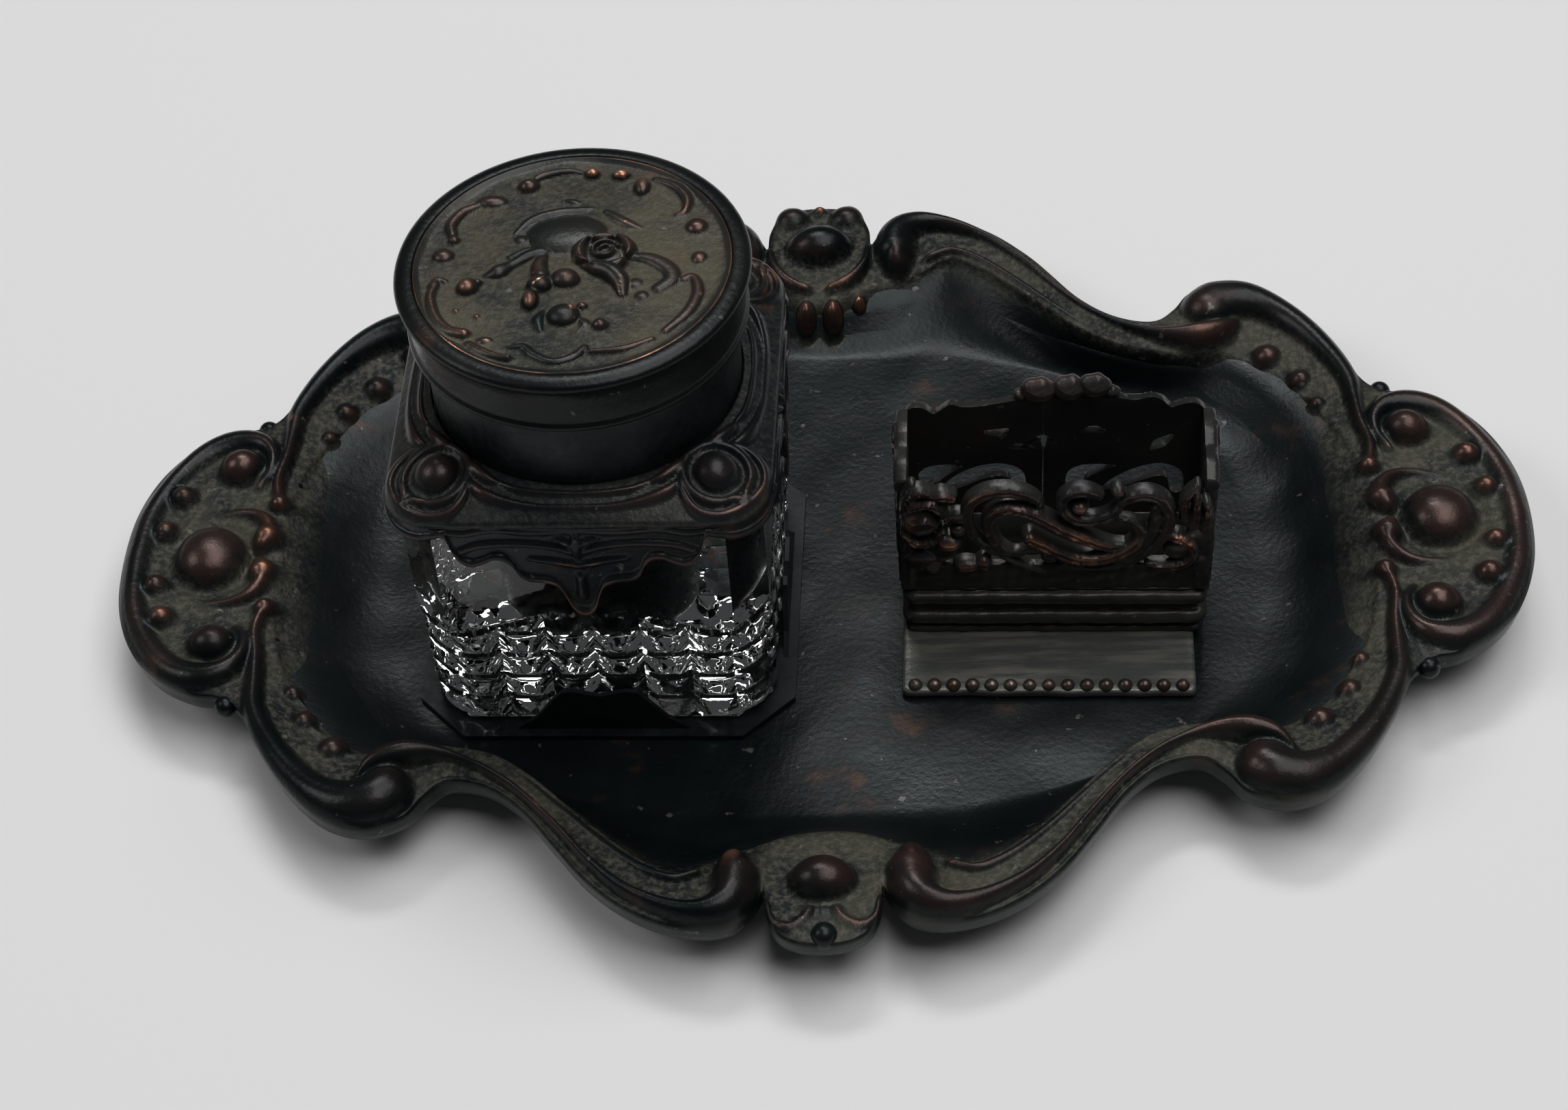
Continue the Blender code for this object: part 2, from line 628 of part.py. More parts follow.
def make_tray():
    """The cast tray: floor, cove, sunk platform, rolls and scrolls of the rim, and foot ring below."""
    stations = tray_stations()
    outline = [Vector(row[:2]) for row in stations]
    edge = [Vector(row[2:4]) for row in stations]
    depths = [row[4] for row in stations]
    floor = floor_outline(edge)
    rolls = rim_rolls()
    rim = TRAY_RIM_HEIGHT

    def level(height):
        return [height] * len(outline)

    def platform(share, lowered):
        sunk = max((share - PLATFORM_LEVEL_SHARE) / (1 - PLATFORM_LEVEL_SHARE), 0) ** PLATFORM_POWER
        return [rim - RECESS_DEPTH - lowered - depth * sunk for depth in depths]

    def cove(share, foot, lowered):
        rest = (1 - share) ** COVE_POWER
        return [foot + (rim - RECESS_DEPTH - lowered - depth - foot) * rest for depth in depths]

    rings = [floor_ring(floor, 0, TRAY_FLOOR_TOP)]
    for share in reversed(COVE_SHARES):
        rings.append(surface_ring(between(edge, floor, 0, share), cove(share, TRAY_FLOOR_TOP, 0), rolls))
    for share in reversed(PLATFORM_SHARES):
        places = between(outline, edge, RIM_ROLL_WIDTH, share)
        rings.append(surface_ring(places, platform(share, 0), rolls))
    for inset, rise in ((1, 0), (INNER_ROLL_SHARE, INNER_ROLL_RISE_SHARE), (CREST_INSET_SHARE, 1),
                        (ROLL_SHOULDER_SHARE, ROLL_SHOULDER_RISE_SHARE)):
        places = between(outline, edge, RIM_ROLL_WIDTH * inset, 0)
        rings.append(surface_ring(places, level(rim + RIM_CREST_RISE * rise), rolls))
    rings.append(plain_ring(outline, level(rim)))
    lip = RIM_ROLL_WIDTH * ROLL_SHOULDER_SHARE
    rings.append(plain_ring(between(outline, edge, lip, 0), level(rim - RIM_LIP_DROP)))
    rings.append(plain_ring(between(outline, edge, lip + RIM_LIP_WIDTH, 0), level(rim - RIM_LIP_DROP)))
    for share in (0, PLATFORM_LEVEL_SHARE, 1):
        rings.append(plain_ring(between(outline, edge, RIM_ROLL_WIDTH, share), platform(share, TRAY_WALL)))
    for share in UNDER_SHARES:
        rings.append(plain_ring(between(edge, floor, 0, share), cove(share, FLOOR_UNDER, TRAY_WALL)))
    rings.append(floor_ring(floor, FOOT_RING_INSET, FLOOR_UNDER))
    rings.append(floor_ring(floor, FOOT_RING_INSET, 0))
    rings.append(floor_ring(floor, FOOT_RING_INSET + FOOT_RING_WIDTH, 0))
    rings.append(floor_ring(floor, FOOT_RING_INSET + FOOT_RING_WIDTH, FLOOR_UNDER))
    mesh = loft("tray", rings, closed=False)
    mesh.flip_normals()
    tray = add("tray", mesh, bronze)

    bosses = []
    for side in (-1, 1):
        sizes = (SIDE_BOSS_RADIUS, SIDE_BOSS_RADIUS, SIDE_BOSS_RISE)
        bosses.append(((side * SIDE_BOSS_SHARE * TRAY_HALF_LENGTH, 0, rim), sizes))
        sizes = (CENTRE_BOSS_HALF_LENGTH, CENTRE_BOSS_HALF_WIDTH, CENTRE_BOSS_RISE)
        bosses.append(((0, side * CENTRE_BOSS_SHARE * TRAY_HALF_WIDTH, rim), sizes))
        for end in (-1, 1):
            oval = (LOBE_OVAL_RADIUS, LOBE_OVAL_RADIUS, LOBE_OVAL_RISE)
            bosses.append((placed(LOBE_OVAL_SHARES, side, end), oval))
            ball = (CORNER_BALL_RADIUS, CORNER_BALL_RADIUS, CORNER_BALL_RISE)
            bosses.append((placed(CORNER_BALL_SHARES, side, end), ball))
            head = (SCROLL_HEAD_HALF_LENGTH, SCROLL_HEAD_HALF_WIDTH, SCROLL_HEAD_RISE)
            bosses.append((placed(SCROLL_HEAD_SHARES, side, end), head))
            drop = (side * PENDANT_X, end * PENDANT_SHARE * TRAY_HALF_WIDTH, rim - RECESS_DEPTH)
            bosses.append((drop, (PENDANT_RADIUS,) * 3))
    boolean(tray, cutter("tray_bosses", ellipsoids("tray_bosses", bosses, 12, 7)), "UNION")
    return tray


def cut_rivet_hole(target, name, frame, x, y, low, high):
    """A clear hole for a rivet's shank."""
    profile = rod_profile(RIVET_RADIUS + CLEARANCE, low - OVERRUN, high + OVERRUN)
    hole = turned_cutter(name, profile, frame, 16)
    hole.location = (x, y, 0)
    boolean(target, hole, "DIFFERENCE")


def make_rivet(name, frame, x, y, top):
    """A rivet with a flat head above and a closed tail below the tray's floor."""
    tail = FLOOR_UNDER - CLEARANCE
    head = top + CLEARANCE
    profile = [
        (0, head + RIVET_HEAD_HEIGHT), (RIVET_HEAD_RADIUS, head + RIVET_HEAD_HEIGHT),
        (RIVET_HEAD_RADIUS, head), (RIVET_RADIUS, head), (RIVET_RADIUS, tail), (RIVET_HEAD_RADIUS, tail),
        (RIVET_HEAD_RADIUS, tail - RIVET_TAIL_HEIGHT), (0, tail - RIVET_TAIL_HEIGHT)]
    rivet = turned(name, profile, copper, frame, 16)
    rivet.location = (x, y, 0)
    return rivet


def make_seat(frame):
    """The well's seat: a thin plate with an upturned tab on each side of the glass."""
    half = SEAT_HALF
    cut = SEAT_CORNER_CUT
    corners = [(half - cut, -half), (half, cut - half)]
    outline = []
    for turn in range(4):
        c, s = round(math.cos(turn * math.pi / 2)), round(math.sin(turn * math.pi / 2))
        outline += [(c * x - s * y, s * x + c * y) for x, y in corners]
    plate = flat_mesh("well_seat", outline, [], SEAT_THICKNESS, upright=False)
    moved(plate, Matrix.Translation((0, 0, SEAT_TOP - SEAT_THICKNESS / 2)))
    seat = add("well_seat", plate, dark_steel, frame)
    half_tab = [(TAB_HALF_WIDTH * x, TAB_HEIGHT * y) for x, y in TAB_SHARES]
    tab_outline = both_sides(half_tab)
    tabs = []
    reach = GLASS_HALF + TAB_STANDOFF + SEAT_THICKNESS / 2
    for turn in range(4):
        tab = flat_mesh("tab", tab_outline, [], SEAT_THICKNESS, upright=True)
        place = Matrix.Rotation(turn * math.pi / 2, 4, "Z") @ Matrix.Translation(
            (0, -reach, SEAT_TOP - SEAT_THICKNESS / 2))
        tabs.append(moved(tab, place))
    boolean(seat, cutter("seat_tabs", joined("seat_tabs", tabs), frame), "UNION")
    return seat


def make_glass(frame):
    """The square glass well with chamfered corners, round neck, ink bore and punt below."""
    half = GLASS_HALF
    cut = GLASS_CHAMFER
    corners = [(half - cut, -half), (half, cut - half)]
    outline = []
    for turn in range(4):
        c, s = round(math.cos(turn * math.pi / 2)), round(math.sin(turn * math.pi / 2))
        outline += [(c * x - s * y, s * x + c * y) for x, y in corners]
    block = flat_mesh("glass_well", outline, [], GLASS_HEIGHT, upright=False)
    moved(block, Matrix.Translation((0, 0, GLASS_BASE + GLASS_HEIGHT / 2)))
    well = add("glass_well", block, clear_glass, frame)
    neck_top = GLASS_TOP + GLASS_NECK_HEIGHT
    neck = turned_cutter("glass_neck", rod_profile(GLASS_NECK_RADIUS, GLASS_TOP - OVERRUN, neck_top), frame)
    boolean(well, neck, "UNION")
    low = GLASS_BASE + INK_FLOOR
    bend = INK_FLOOR_ROUND
    bore = [(0, neck_top + OVERRUN), (INK_BORE_RADIUS, neck_top + OVERRUN), (INK_BORE_RADIUS, low + bend)]
    for k in range(1, 4):
        angle = k * math.pi / 8
        bore.append((INK_BORE_RADIUS - bend * (1 - math.cos(angle)), low + bend * (1 - math.sin(angle))))
    bore += [(INK_BORE_RADIUS - bend, low), (0, low)]
    boolean(well, turned_cutter("ink_bore", bore, frame), "DIFFERENCE")
    hollow = rod_profile(PUNT_RADIUS, GLASS_BASE - OVERRUN, GLASS_BASE + PUNT_DEPTH)
    boolean(well, turned_cutter("punt", hollow, frame), "DIFFERENCE")
    return well


def rounded_square(half, radius):
    """A square with round corners, as corner arcs and points along each side."""
    made = []
    centre = half - radius
    arc_steps = 10
    side_steps = 5
    for turn in range(4):
        base = turn * math.pi / 2
        c, s = math.cos(base), math.sin(base)
        points = []
        for k in range(1, side_steps):
            points.append((half, -centre + 2 * centre * k / side_steps))
        for k in range(arc_steps + 1):
            angle = k / arc_steps * math.pi / 2
            points.append((centre + radius * math.cos(angle), centre + radius * math.sin(angle)))
        made += [Vector((c * x - s * y, s * x + c * y)) for x, y in points]
    return made


def make_collar(frame):
    """The collar: lipped shoulder plate with a round hole, corner bosses and four hanging aprons."""
    outer = rounded_square(COLLAR_HALF, COLLAR_CORNER_RADIUS)
    bevel = rounded_square(COLLAR_HALF - COLLAR_EDGE_BEVEL, COLLAR_CORNER_RADIUS - COLLAR_EDGE_BEVEL)
    inner = rounded_square(COLLAR_HALF - COLLAR_LIP, COLLAR_CORNER_RADIUS - COLLAR_LIP)
    hole_radius = NECK_RADIUS + CLEARANCE
    edge = COLLAR_LIP_BOTTOM + COLLAR_EDGE_RISE

    def flat(loop, height):
        return [(p.x, p.y, height) for p in loop]

    def circle(radius, height):
        return [(*(p.normalized() * radius), height) for p in outer]

    band = circle(hole_radius + COLLAR_TOP_BAND, COLLAR_TOP)
    shoulder = []
    for p, q in zip(bevel, band):
        shoulder.append(((p.x + q[0]) / 2, (p.y + q[1]) / 2, (edge + COLLAR_TOP) / 2))
    rings = [
        flat(outer, COLLAR_LIP_BOTTOM), flat(outer, edge), flat(bevel, edge + COLLAR_EDGE_BEVEL),
        shoulder, band,
        circle(hole_radius, COLLAR_TOP), circle(hole_radius, COLLAR_UNDER), flat(inner, COLLAR_UNDER),
        flat(inner, COLLAR_LIP_BOTTOM)]
    collar = add("collar", loft("collar", rings, closed=True), bronze, frame)

    half = [(APRON_HALF_WIDTH * x, COLLAR_LIP_BOTTOM - APRON_DROP * y) for x, y in APRON_SHARES]
    root = COLLAR_LIP_BOTTOM + APRON_ROOT
    half = [(APRON_HALF_WIDTH, root)] + half
    outline = both_sides(half)
    place = COLLAR_HALF - COLLAR_LIP / 2
    aprons = []
    for turn in range(4):
        apron = flat_mesh("apron", outline, [], APRON_THICKNESS, upright=True)
        aprons.append(moved(apron, Matrix.Rotation(turn * math.pi / 2, 4, "Z")
                            @ Matrix.Translation((0, -place, 0))))
    boolean(collar, cutter("aprons", joined("aprons", aprons), frame), "UNION")
    bosses = []
    for side in (-1, 1):
        for end in (-1, 1):
            centre = (side * COLLAR_BOSS_PLACE, end * COLLAR_BOSS_PLACE, edge + COLLAR_EDGE_BEVEL)
            bosses.append((centre, (COLLAR_BOSS_RADIUS, COLLAR_BOSS_RADIUS, COLLAR_BOSS_RISE)))
    boolean(collar, cutter("collar_bosses", ellipsoids("collar_bosses", bosses, 14, 8), frame), "UNION")
    return collar


def make_neck(frame):
    """The round neck ring and the cement that beds it on the glass."""
    low = COLLAR_UNDER
    inner = NECK_RADIUS - NECK_WALL
    turned("neck_ring", [(NECK_RADIUS, NECK_TOP), (NECK_RADIUS, low), (inner, low), (inner, NECK_TOP)],
           dark_steel, frame)
    outer = inner - CLEARANCE
    inside = GLASS_NECK_RADIUS + CLEARANCE
    high = low + CEMENT_HEIGHT
    turned("cement_bed", [(outer, high), (outer, low), (inside, low), (inside, high)], plaster, frame)


def make_lid(hinge):
    """The lid: turned shell with a rolled rim, and the pressed relief panel set in its top."""
    inner = LID_RADIUS - LID_WALL
    rim_centre = LID_TOP - LID_RIM_ROLL
    rim_middle = LID_RIM_RADIUS - LID_RIM_ROLL
    ledge_top = LID_TOP - LID_PANEL_DEPTH - PANEL_THICKNESS
    ledge_low = ledge_top - LID_LEDGE_THICKNESS
    recess = rim_middle - LID_RIM_ROLL
    profile = []
    for k in range(7):
        angle = math.pi / 2 - LID_RIM_SWEEP * k / 6
        place = (rim_middle + LID_RIM_ROLL * math.cos(angle), rim_centre + LID_RIM_ROLL * math.sin(angle))
        profile.append(place)
    bead = LID_BOTTOM + LID_BEAD_HEIGHT
    profile += [
        (LID_RADIUS, ledge_low), (LID_RADIUS, bead), (LID_RADIUS + LID_BEAD_RISE, bead),
        (LID_RADIUS + LID_BEAD_RISE, LID_BOTTOM), (inner, LID_BOTTOM), (inner, ledge_low),
        (recess - LID_LEDGE_WIDTH, ledge_low), (recess - LID_LEDGE_WIDTH, ledge_top), (recess, ledge_top),
        (recess, rim_centre)]
    shell = turned("lid_shell", profile, bronze, hinge)
    shell.location = (0, -HINGE_Y, -HINGE_Z)

    edge = recess - CLEARANCE
    low = ledge_top + CLEARANCE
    high = low + PANEL_THICKNESS
    crown = high + PANEL_CROWN
    disc = [(0, crown), (edge / 2, crown - PANEL_CROWN / 3), (edge, high), (edge, low), (0, low)]
    panel = turned("lid_panel", disc, bronze, hinge)
    panel.location = (0, -HINGE_Y, -HINGE_Z)
    rise = LID_TOP - high
    posy = ((0, 0, high), (POSY_HALF_LENGTH, POSY_HALF_WIDTH, min(POSY_RISE, rise)))
    bump = cutter("lid_posy", ellipsoids("lid_posy", [posy], 20, 10), hinge)
    bump.location = (0, -HINGE_Y, -HINGE_Z)
    boolean(panel, bump, "UNION")


def barrel_mesh(name, radius, half_length):
    """A cylinder along X, centred on the hinge axis."""
    mesh = bpy.data.meshes.new(name)
    bm = bmesh.new()
    bmesh.ops.create_cone(bm, cap_ends=True, segments=20, radius1=radius, radius2=radius,
                          depth=2 * half_length, matrix=Matrix.Rotation(math.pi / 2, 4, "Y"))
    bm.to_mesh(mesh)
    bm.free()
    return mesh


def make_hinge(frame, hinge):
    """The strap and knuckles on the collar, the strap and middle knuckle on the lid, and the pin."""
    gap = CLEARANCE
    strap_front = KNUCKLE_RADIUS
    strap_back = KNUCKLE_RADIUS - STRAP_THICKNESS
    foot = COLLAR_TOP - COLLAR_EDGE_BEVEL + gap
    low = box_mesh("collar_strap", (-HINGE_HALF_WIDTH, HINGE_Y - strap_front, foot),
                   (HINGE_HALF_WIDTH, HINGE_Y - strap_back, HINGE_Z))
    strap = add("collar_hinge_strap", low, bronze, frame)
    barrel = cutter("collar_barrel", barrel_mesh("collar_barrel", KNUCKLE_RADIUS, HINGE_HALF_WIDTH), frame)
    barrel.location = (0, HINGE_Y, HINGE_Z)
    boolean(strap, barrel, "UNION")
    reach = LID_KNUCKLE_HALF + gap
    room = KNUCKLE_RADIUS + 2 * gap
    notch = box_mesh("knuckle_notch", (-reach, HINGE_Y - room - OVERRUN, HINGE_Z - room),
                     (reach, HINGE_Y + room, HINGE_Z + room))
    boolean(strap, cutter("knuckle_notch", notch, frame), "DIFFERENCE")
    hole = barrel_mesh("collar_pin_bore", PIN_RADIUS + gap, HINGE_HALF_WIDTH + OVERRUN)
    bore = cutter("collar_pin_bore", hole, frame)
    bore.location = (0, HINGE_Y, HINGE_Z)
    boolean(strap, bore, "DIFFERENCE")

    high = box_mesh("lid_strap", (-LID_KNUCKLE_HALF, LID_RADIUS + gap - HINGE_Y, 0),
                    (LID_KNUCKLE_HALF, LID_RADIUS + gap + STRAP_THICKNESS - HINGE_Y, LID_STRAP_HEIGHT))
    lid_strap = add("lid_hinge_strap", high, bronze, hinge)
    web = cutter("lid_web", box_mesh("lid_web", (-LID_KNUCKLE_HALF, LID_RADIUS + 2 * gap - HINGE_Y, 0),
                                     (LID_KNUCKLE_HALF, 0, KNUCKLE_RADIUS)), hinge)
    boolean(lid_strap, web, "UNION")
    knuckle = barrel_mesh("lid_barrel", KNUCKLE_RADIUS, LID_KNUCKLE_HALF)
    boolean(lid_strap, cutter("lid_barrel", knuckle, hinge), "UNION")
    hole = barrel_mesh("lid_pin_bore", PIN_RADIUS + gap, LID_KNUCKLE_HALF + OVERRUN)
    boolean(lid_strap, cutter("lid_pin_bore", hole, hinge), "DIFFERENCE")

    end = HINGE_HALF_WIDTH + gap
    upper = [(0, end + PIN_HEAD_HEIGHT), (PIN_HEAD_RADIUS, end + PIN_HEAD_HEIGHT), (PIN_HEAD_RADIUS, end),
             (PIN_RADIUS, end)]
    profile = upper + [(r, -z) for r, z in reversed(upper)]
    pin = turned("hinge_pin", profile, copper, frame, 16)
    pin.location = (0, HINGE_Y, HINGE_Z)
    pin.rotation_euler = (0, math.pi / 2, 0)


def rounded_oblong(half_length, half_depth, radius):
    """An oblong with three points round each corner."""
    made = []
    for sx, sy, start in ((1, 1, 0), (-1, 1, 1), (-1, -1, 2), (1, -1, 3)):
        for k in range(3):
            angle = (start + k / 2) * math.pi / 2
            made.append((sx * (half_length - radius) + radius * math.cos(angle),
                         sy * (half_depth - radius) + radius * math.sin(angle)))
    return made


def make_plinth(frame):
    """The box's plinth: a frame with two rounded rolls round it."""
    section = [(0, PLINTH_BOTTOM)]
    for height in (LOWER_ROLL_HEIGHT, UPPER_ROLL_HEIGHT):
        for k in range(7):
            angle = -math.pi / 2 + k * math.pi / 6
            out = PLINTH_ROLL_RADIUS * math.cos(angle)
            section.append((out, PLINTH_BOTTOM + height + PLINTH_ROLL_RADIUS * math.sin(angle)))
    top = PLINTH_BOTTOM + PLINTH_HEIGHT
    section += [(0, top), (-PLINTH_WALL, top), (-PLINTH_WALL, PLINTH_BOTTOM)]
    rings = []
    for out, height in section:
        corner = PLINTH_CORNER + max(out, 0)
        loop = rounded_oblong(PLINTH_HALF_LENGTH + out, PLINTH_HALF_DEPTH + out, corner)
        rings.append([(x, y, height) for x, y in loop])
    return add("box_plinth", loft("box_plinth", rings, closed=True), bronze, frame)


def make_foot_plate(frame):
    """The plate under the box, with a row of beads along its front edge."""
    low = (-FOOT_PLATE_LEFT - FOOT_PLATE_HALF_LENGTH, -FOOT_PLATE_FRONT, PLATE_BOTTOM)
    high = (FOOT_PLATE_HALF_LENGTH - FOOT_PLATE_LEFT, FOOT_PLATE_BACK, PLATE_TOP)
    plate = add("foot_plate", box_mesh("foot_plate", low, high), bronze, frame)
    run = 2 * (FOOT_PLATE_HALF_LENGTH - BEAD_END_MARGIN)
    beads = []
    for k in range(BEAD_COUNT):
        x = run * k / (BEAD_COUNT - 1) - run / 2 - FOOT_PLATE_LEFT
        beads.append(((x, BEAD_RADIUS - FOOT_PLATE_FRONT, PLATE_TOP), (BEAD_RADIUS,) * 3))
    boolean(plate, cutter("plate_beads", ellipsoids("plate_beads", beads, 10, 6), frame), "UNION")
    return plate


def scaled(shares, across, up, offset=0.0):
    """Outline points from shares of a length and a height."""
    return [(offset + across * x, up * y) for x, y in shares]


def curved(points):
    """A closed outline drawn as a smooth curve through its points."""
    return [tuple(p) for p in smooth_loop(points, 2)]


def wall_panel(name, outline, holes, frame, y, turn=0.0, shift=(0, 0)):
    """An upright pierced panel whose outline starts at the wall's foot."""
    mesh = flat_mesh(name, outline, holes, BOX_WALL, upright=True)
    moved(mesh, Matrix.Translation((shift[0], shift[1], WALL_BOTTOM)) @ Matrix.Rotation(turn, 4, "Z")
          @ Matrix.Translation((0, y, 0)))
    return add(name, mesh, bronze, frame, smooth=0)


def make_box_walls(frame):
    """The pierced front wall, the back wall in two halves, and the two sides."""
    middle = BOX_HALF_DEPTH - BOX_WALL / 2
    front = scaled(FRONT_SHARES, BOX_HALF_LENGTH, BOX_WALL_HEIGHT)
    holes = [curved(scaled(hole, BOX_HALF_LENGTH, BOX_WALL_HEIGHT)) for hole in FRONT_HOLE_SHARES]
    wall_panel("box_front", front, holes, frame, -middle)

    for name, end, seam in (("box_back_left", -BOX_HALF_LENGTH, -BOX_SEAM_LEFT - CLEARANCE / 2),
                            ("box_back_right", BOX_HALF_LENGTH, CLEARANCE / 2 - BOX_SEAM_LEFT)):
        width = seam - end
        top = [(end + width * x, BOX_WALL_HEIGHT + BOX_BACK_RISE * y) for x, y in BACK_TOP_SHARES]
        outline = [(end, 0)] + top + [(seam, 0)]
        left = min(end, seam)
        holes = [curved(scaled(hole, abs(width), BOX_WALL_HEIGHT, left)) for hole in BACK_HOLE_SHARES]
        wall_panel(name, outline, holes, frame, middle)

    reach = BOX_HALF_DEPTH - BOX_WALL - CLEARANCE
    for name, side in (("box_side_left", -1), ("box_side_right", 1)):
        top = [(reach * x, BOX_WALL_HEIGHT * (1 + y)) for x, y in SIDE_TOP_SHARES]
        outline = [(-reach, 0)] + top + [(reach, 0)]
        place = (side * (BOX_HALF_LENGTH - BOX_WALL / 2), 0)
        wall = wall_panel(name, outline, [], frame, 0, math.pi / 2, place)
        high = WALL_BOTTOM + BOX_WALL_HEIGHT
        x = side * (BOX_HALF_LENGTH + DRIP_STANDOFF)
        drip = ((x, reach - 2 * DRIP_HALF_WIDTH, high - DRIP_LENGTH / 2),
                (DRIP_HALF_WIDTH, DRIP_HALF_WIDTH, DRIP_LENGTH / 2))
        leaf = cutter(name + "_leaf", ellipsoids(name + "_leaf", [drip], 10, 8), frame)
        boolean(wall, leaf, "UNION")


def make_crest(frame):
    """The lobed shell that caps the seam of the back wall."""
    foot = WALL_BOTTOM + BOX_WALL_HEIGHT + BOX_BACK_RISE + CLEARANCE
    y = BOX_HALF_DEPTH - BOX_WALL / 2
    base = box_mesh("box_crest", (CREST_SHIFT - CREST_HALF_LENGTH, y - BOX_WALL / 2, foot),
                    (CREST_SHIFT + CREST_HALF_LENGTH, y + BOX_WALL / 2, foot + CREST_HEIGHT / 4))
    crest = add("box_crest", base, bronze, frame)
    step = CREST_HALF_LENGTH * 2 / 3
    for k in (-1, 0, 1):
        lobe = [((CREST_SHIFT + k * step, y, foot + CREST_HEIGHT / 2),
                 (step * CREST_LOBE_SHARE, CREST_HALF_DEPTH, CREST_HEIGHT / 2))]
        name = "crest_lobe_%d" % (k + 2)
        boolean(crest, cutter(name, ellipsoids(name, lobe, 12, 8), frame), "UNION")


tray = make_tray()
well_frame = empty("well_frame", (*placed(WELL_PLACE_SHARES, 1, 1)[:2], 0), WELL_TURN)
box_frame = empty("box_frame", (*placed(BOX_PLACE_SHARES, 1, 1)[:2], 0), BOX_TURN)
lid_hinge = empty("lid_hinge", (0, HINGE_Y, HINGE_Z), 0, well_frame)

seat = make_seat(well_frame)
cut_rivet_hole(tray, "tray_seat_hole", well_frame, 0, 0, FLOOR_UNDER, TRAY_FLOOR_TOP)
cut_rivet_hole(seat, "seat_hole", well_frame, 0, 0, SEAT_TOP, SEAT_TOP)
make_rivet("seat_rivet", well_frame, 0, 0, SEAT_TOP)
make_glass(well_frame)
make_collar(well_frame)
make_neck(well_frame)
make_lid(lid_hinge)
make_hinge(well_frame, lid_hinge)

foot_plate = make_foot_plate(box_frame)
for rivet_name, side in (("box_rivet_left", -1), ("box_rivet_right", 1)):
    rivet_x = side * BOX_RIVET_SPREAD
    cut_rivet_hole(tray, rivet_name + "_tray_hole", box_frame, rivet_x, 0, FLOOR_UNDER, TRAY_FLOOR_TOP)
    cut_rivet_hole(foot_plate, rivet_name + "_plate_hole", box_frame, rivet_x, 0, PLATE_BOTTOM, PLATE_TOP)
    make_rivet(rivet_name, box_frame, rivet_x, 0, PLATE_TOP)
make_plinth(box_frame)
make_box_walls(box_frame)
make_crest(box_frame)
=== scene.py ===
"""Desk inkstand: looks of the cast tray, the glass well with its collar and lid, and the openwork box."""
import math

import bmesh
import bpy
import numpy as np
from mathutils import Matrix, Vector


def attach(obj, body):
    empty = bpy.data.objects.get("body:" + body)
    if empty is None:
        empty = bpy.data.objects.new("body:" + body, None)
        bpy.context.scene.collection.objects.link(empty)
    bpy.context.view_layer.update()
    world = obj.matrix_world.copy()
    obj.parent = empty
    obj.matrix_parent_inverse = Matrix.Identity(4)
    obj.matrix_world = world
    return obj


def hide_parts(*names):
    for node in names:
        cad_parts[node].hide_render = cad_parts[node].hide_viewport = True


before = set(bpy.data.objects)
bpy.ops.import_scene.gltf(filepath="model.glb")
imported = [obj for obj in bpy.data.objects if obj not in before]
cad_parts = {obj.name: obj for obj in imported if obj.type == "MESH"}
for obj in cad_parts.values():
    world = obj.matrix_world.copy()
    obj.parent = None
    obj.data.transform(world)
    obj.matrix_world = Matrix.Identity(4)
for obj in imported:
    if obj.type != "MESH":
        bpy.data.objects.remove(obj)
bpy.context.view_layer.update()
MM = 0.001

# The tray. A sand-cast cartouche dish in copper-plated spelter, with a rolled rim that ends in
# scrolls, side lobes with a boss, volutes and beads, sunk shoulders with graded beads, and a shell
# at the back and at the front. Cast in one piece with its foot ring, then patinated nearly black.
RIM_HEIGHT = 13.5
FLOOR_LEVEL = 4.2 - RIM_HEIGHT
UNDERSIDE = 2.4 - RIM_HEIGHT
POINTS_ROUND = 1280
PLATFORM_ROWS = 46
COVE_ROWS = 18

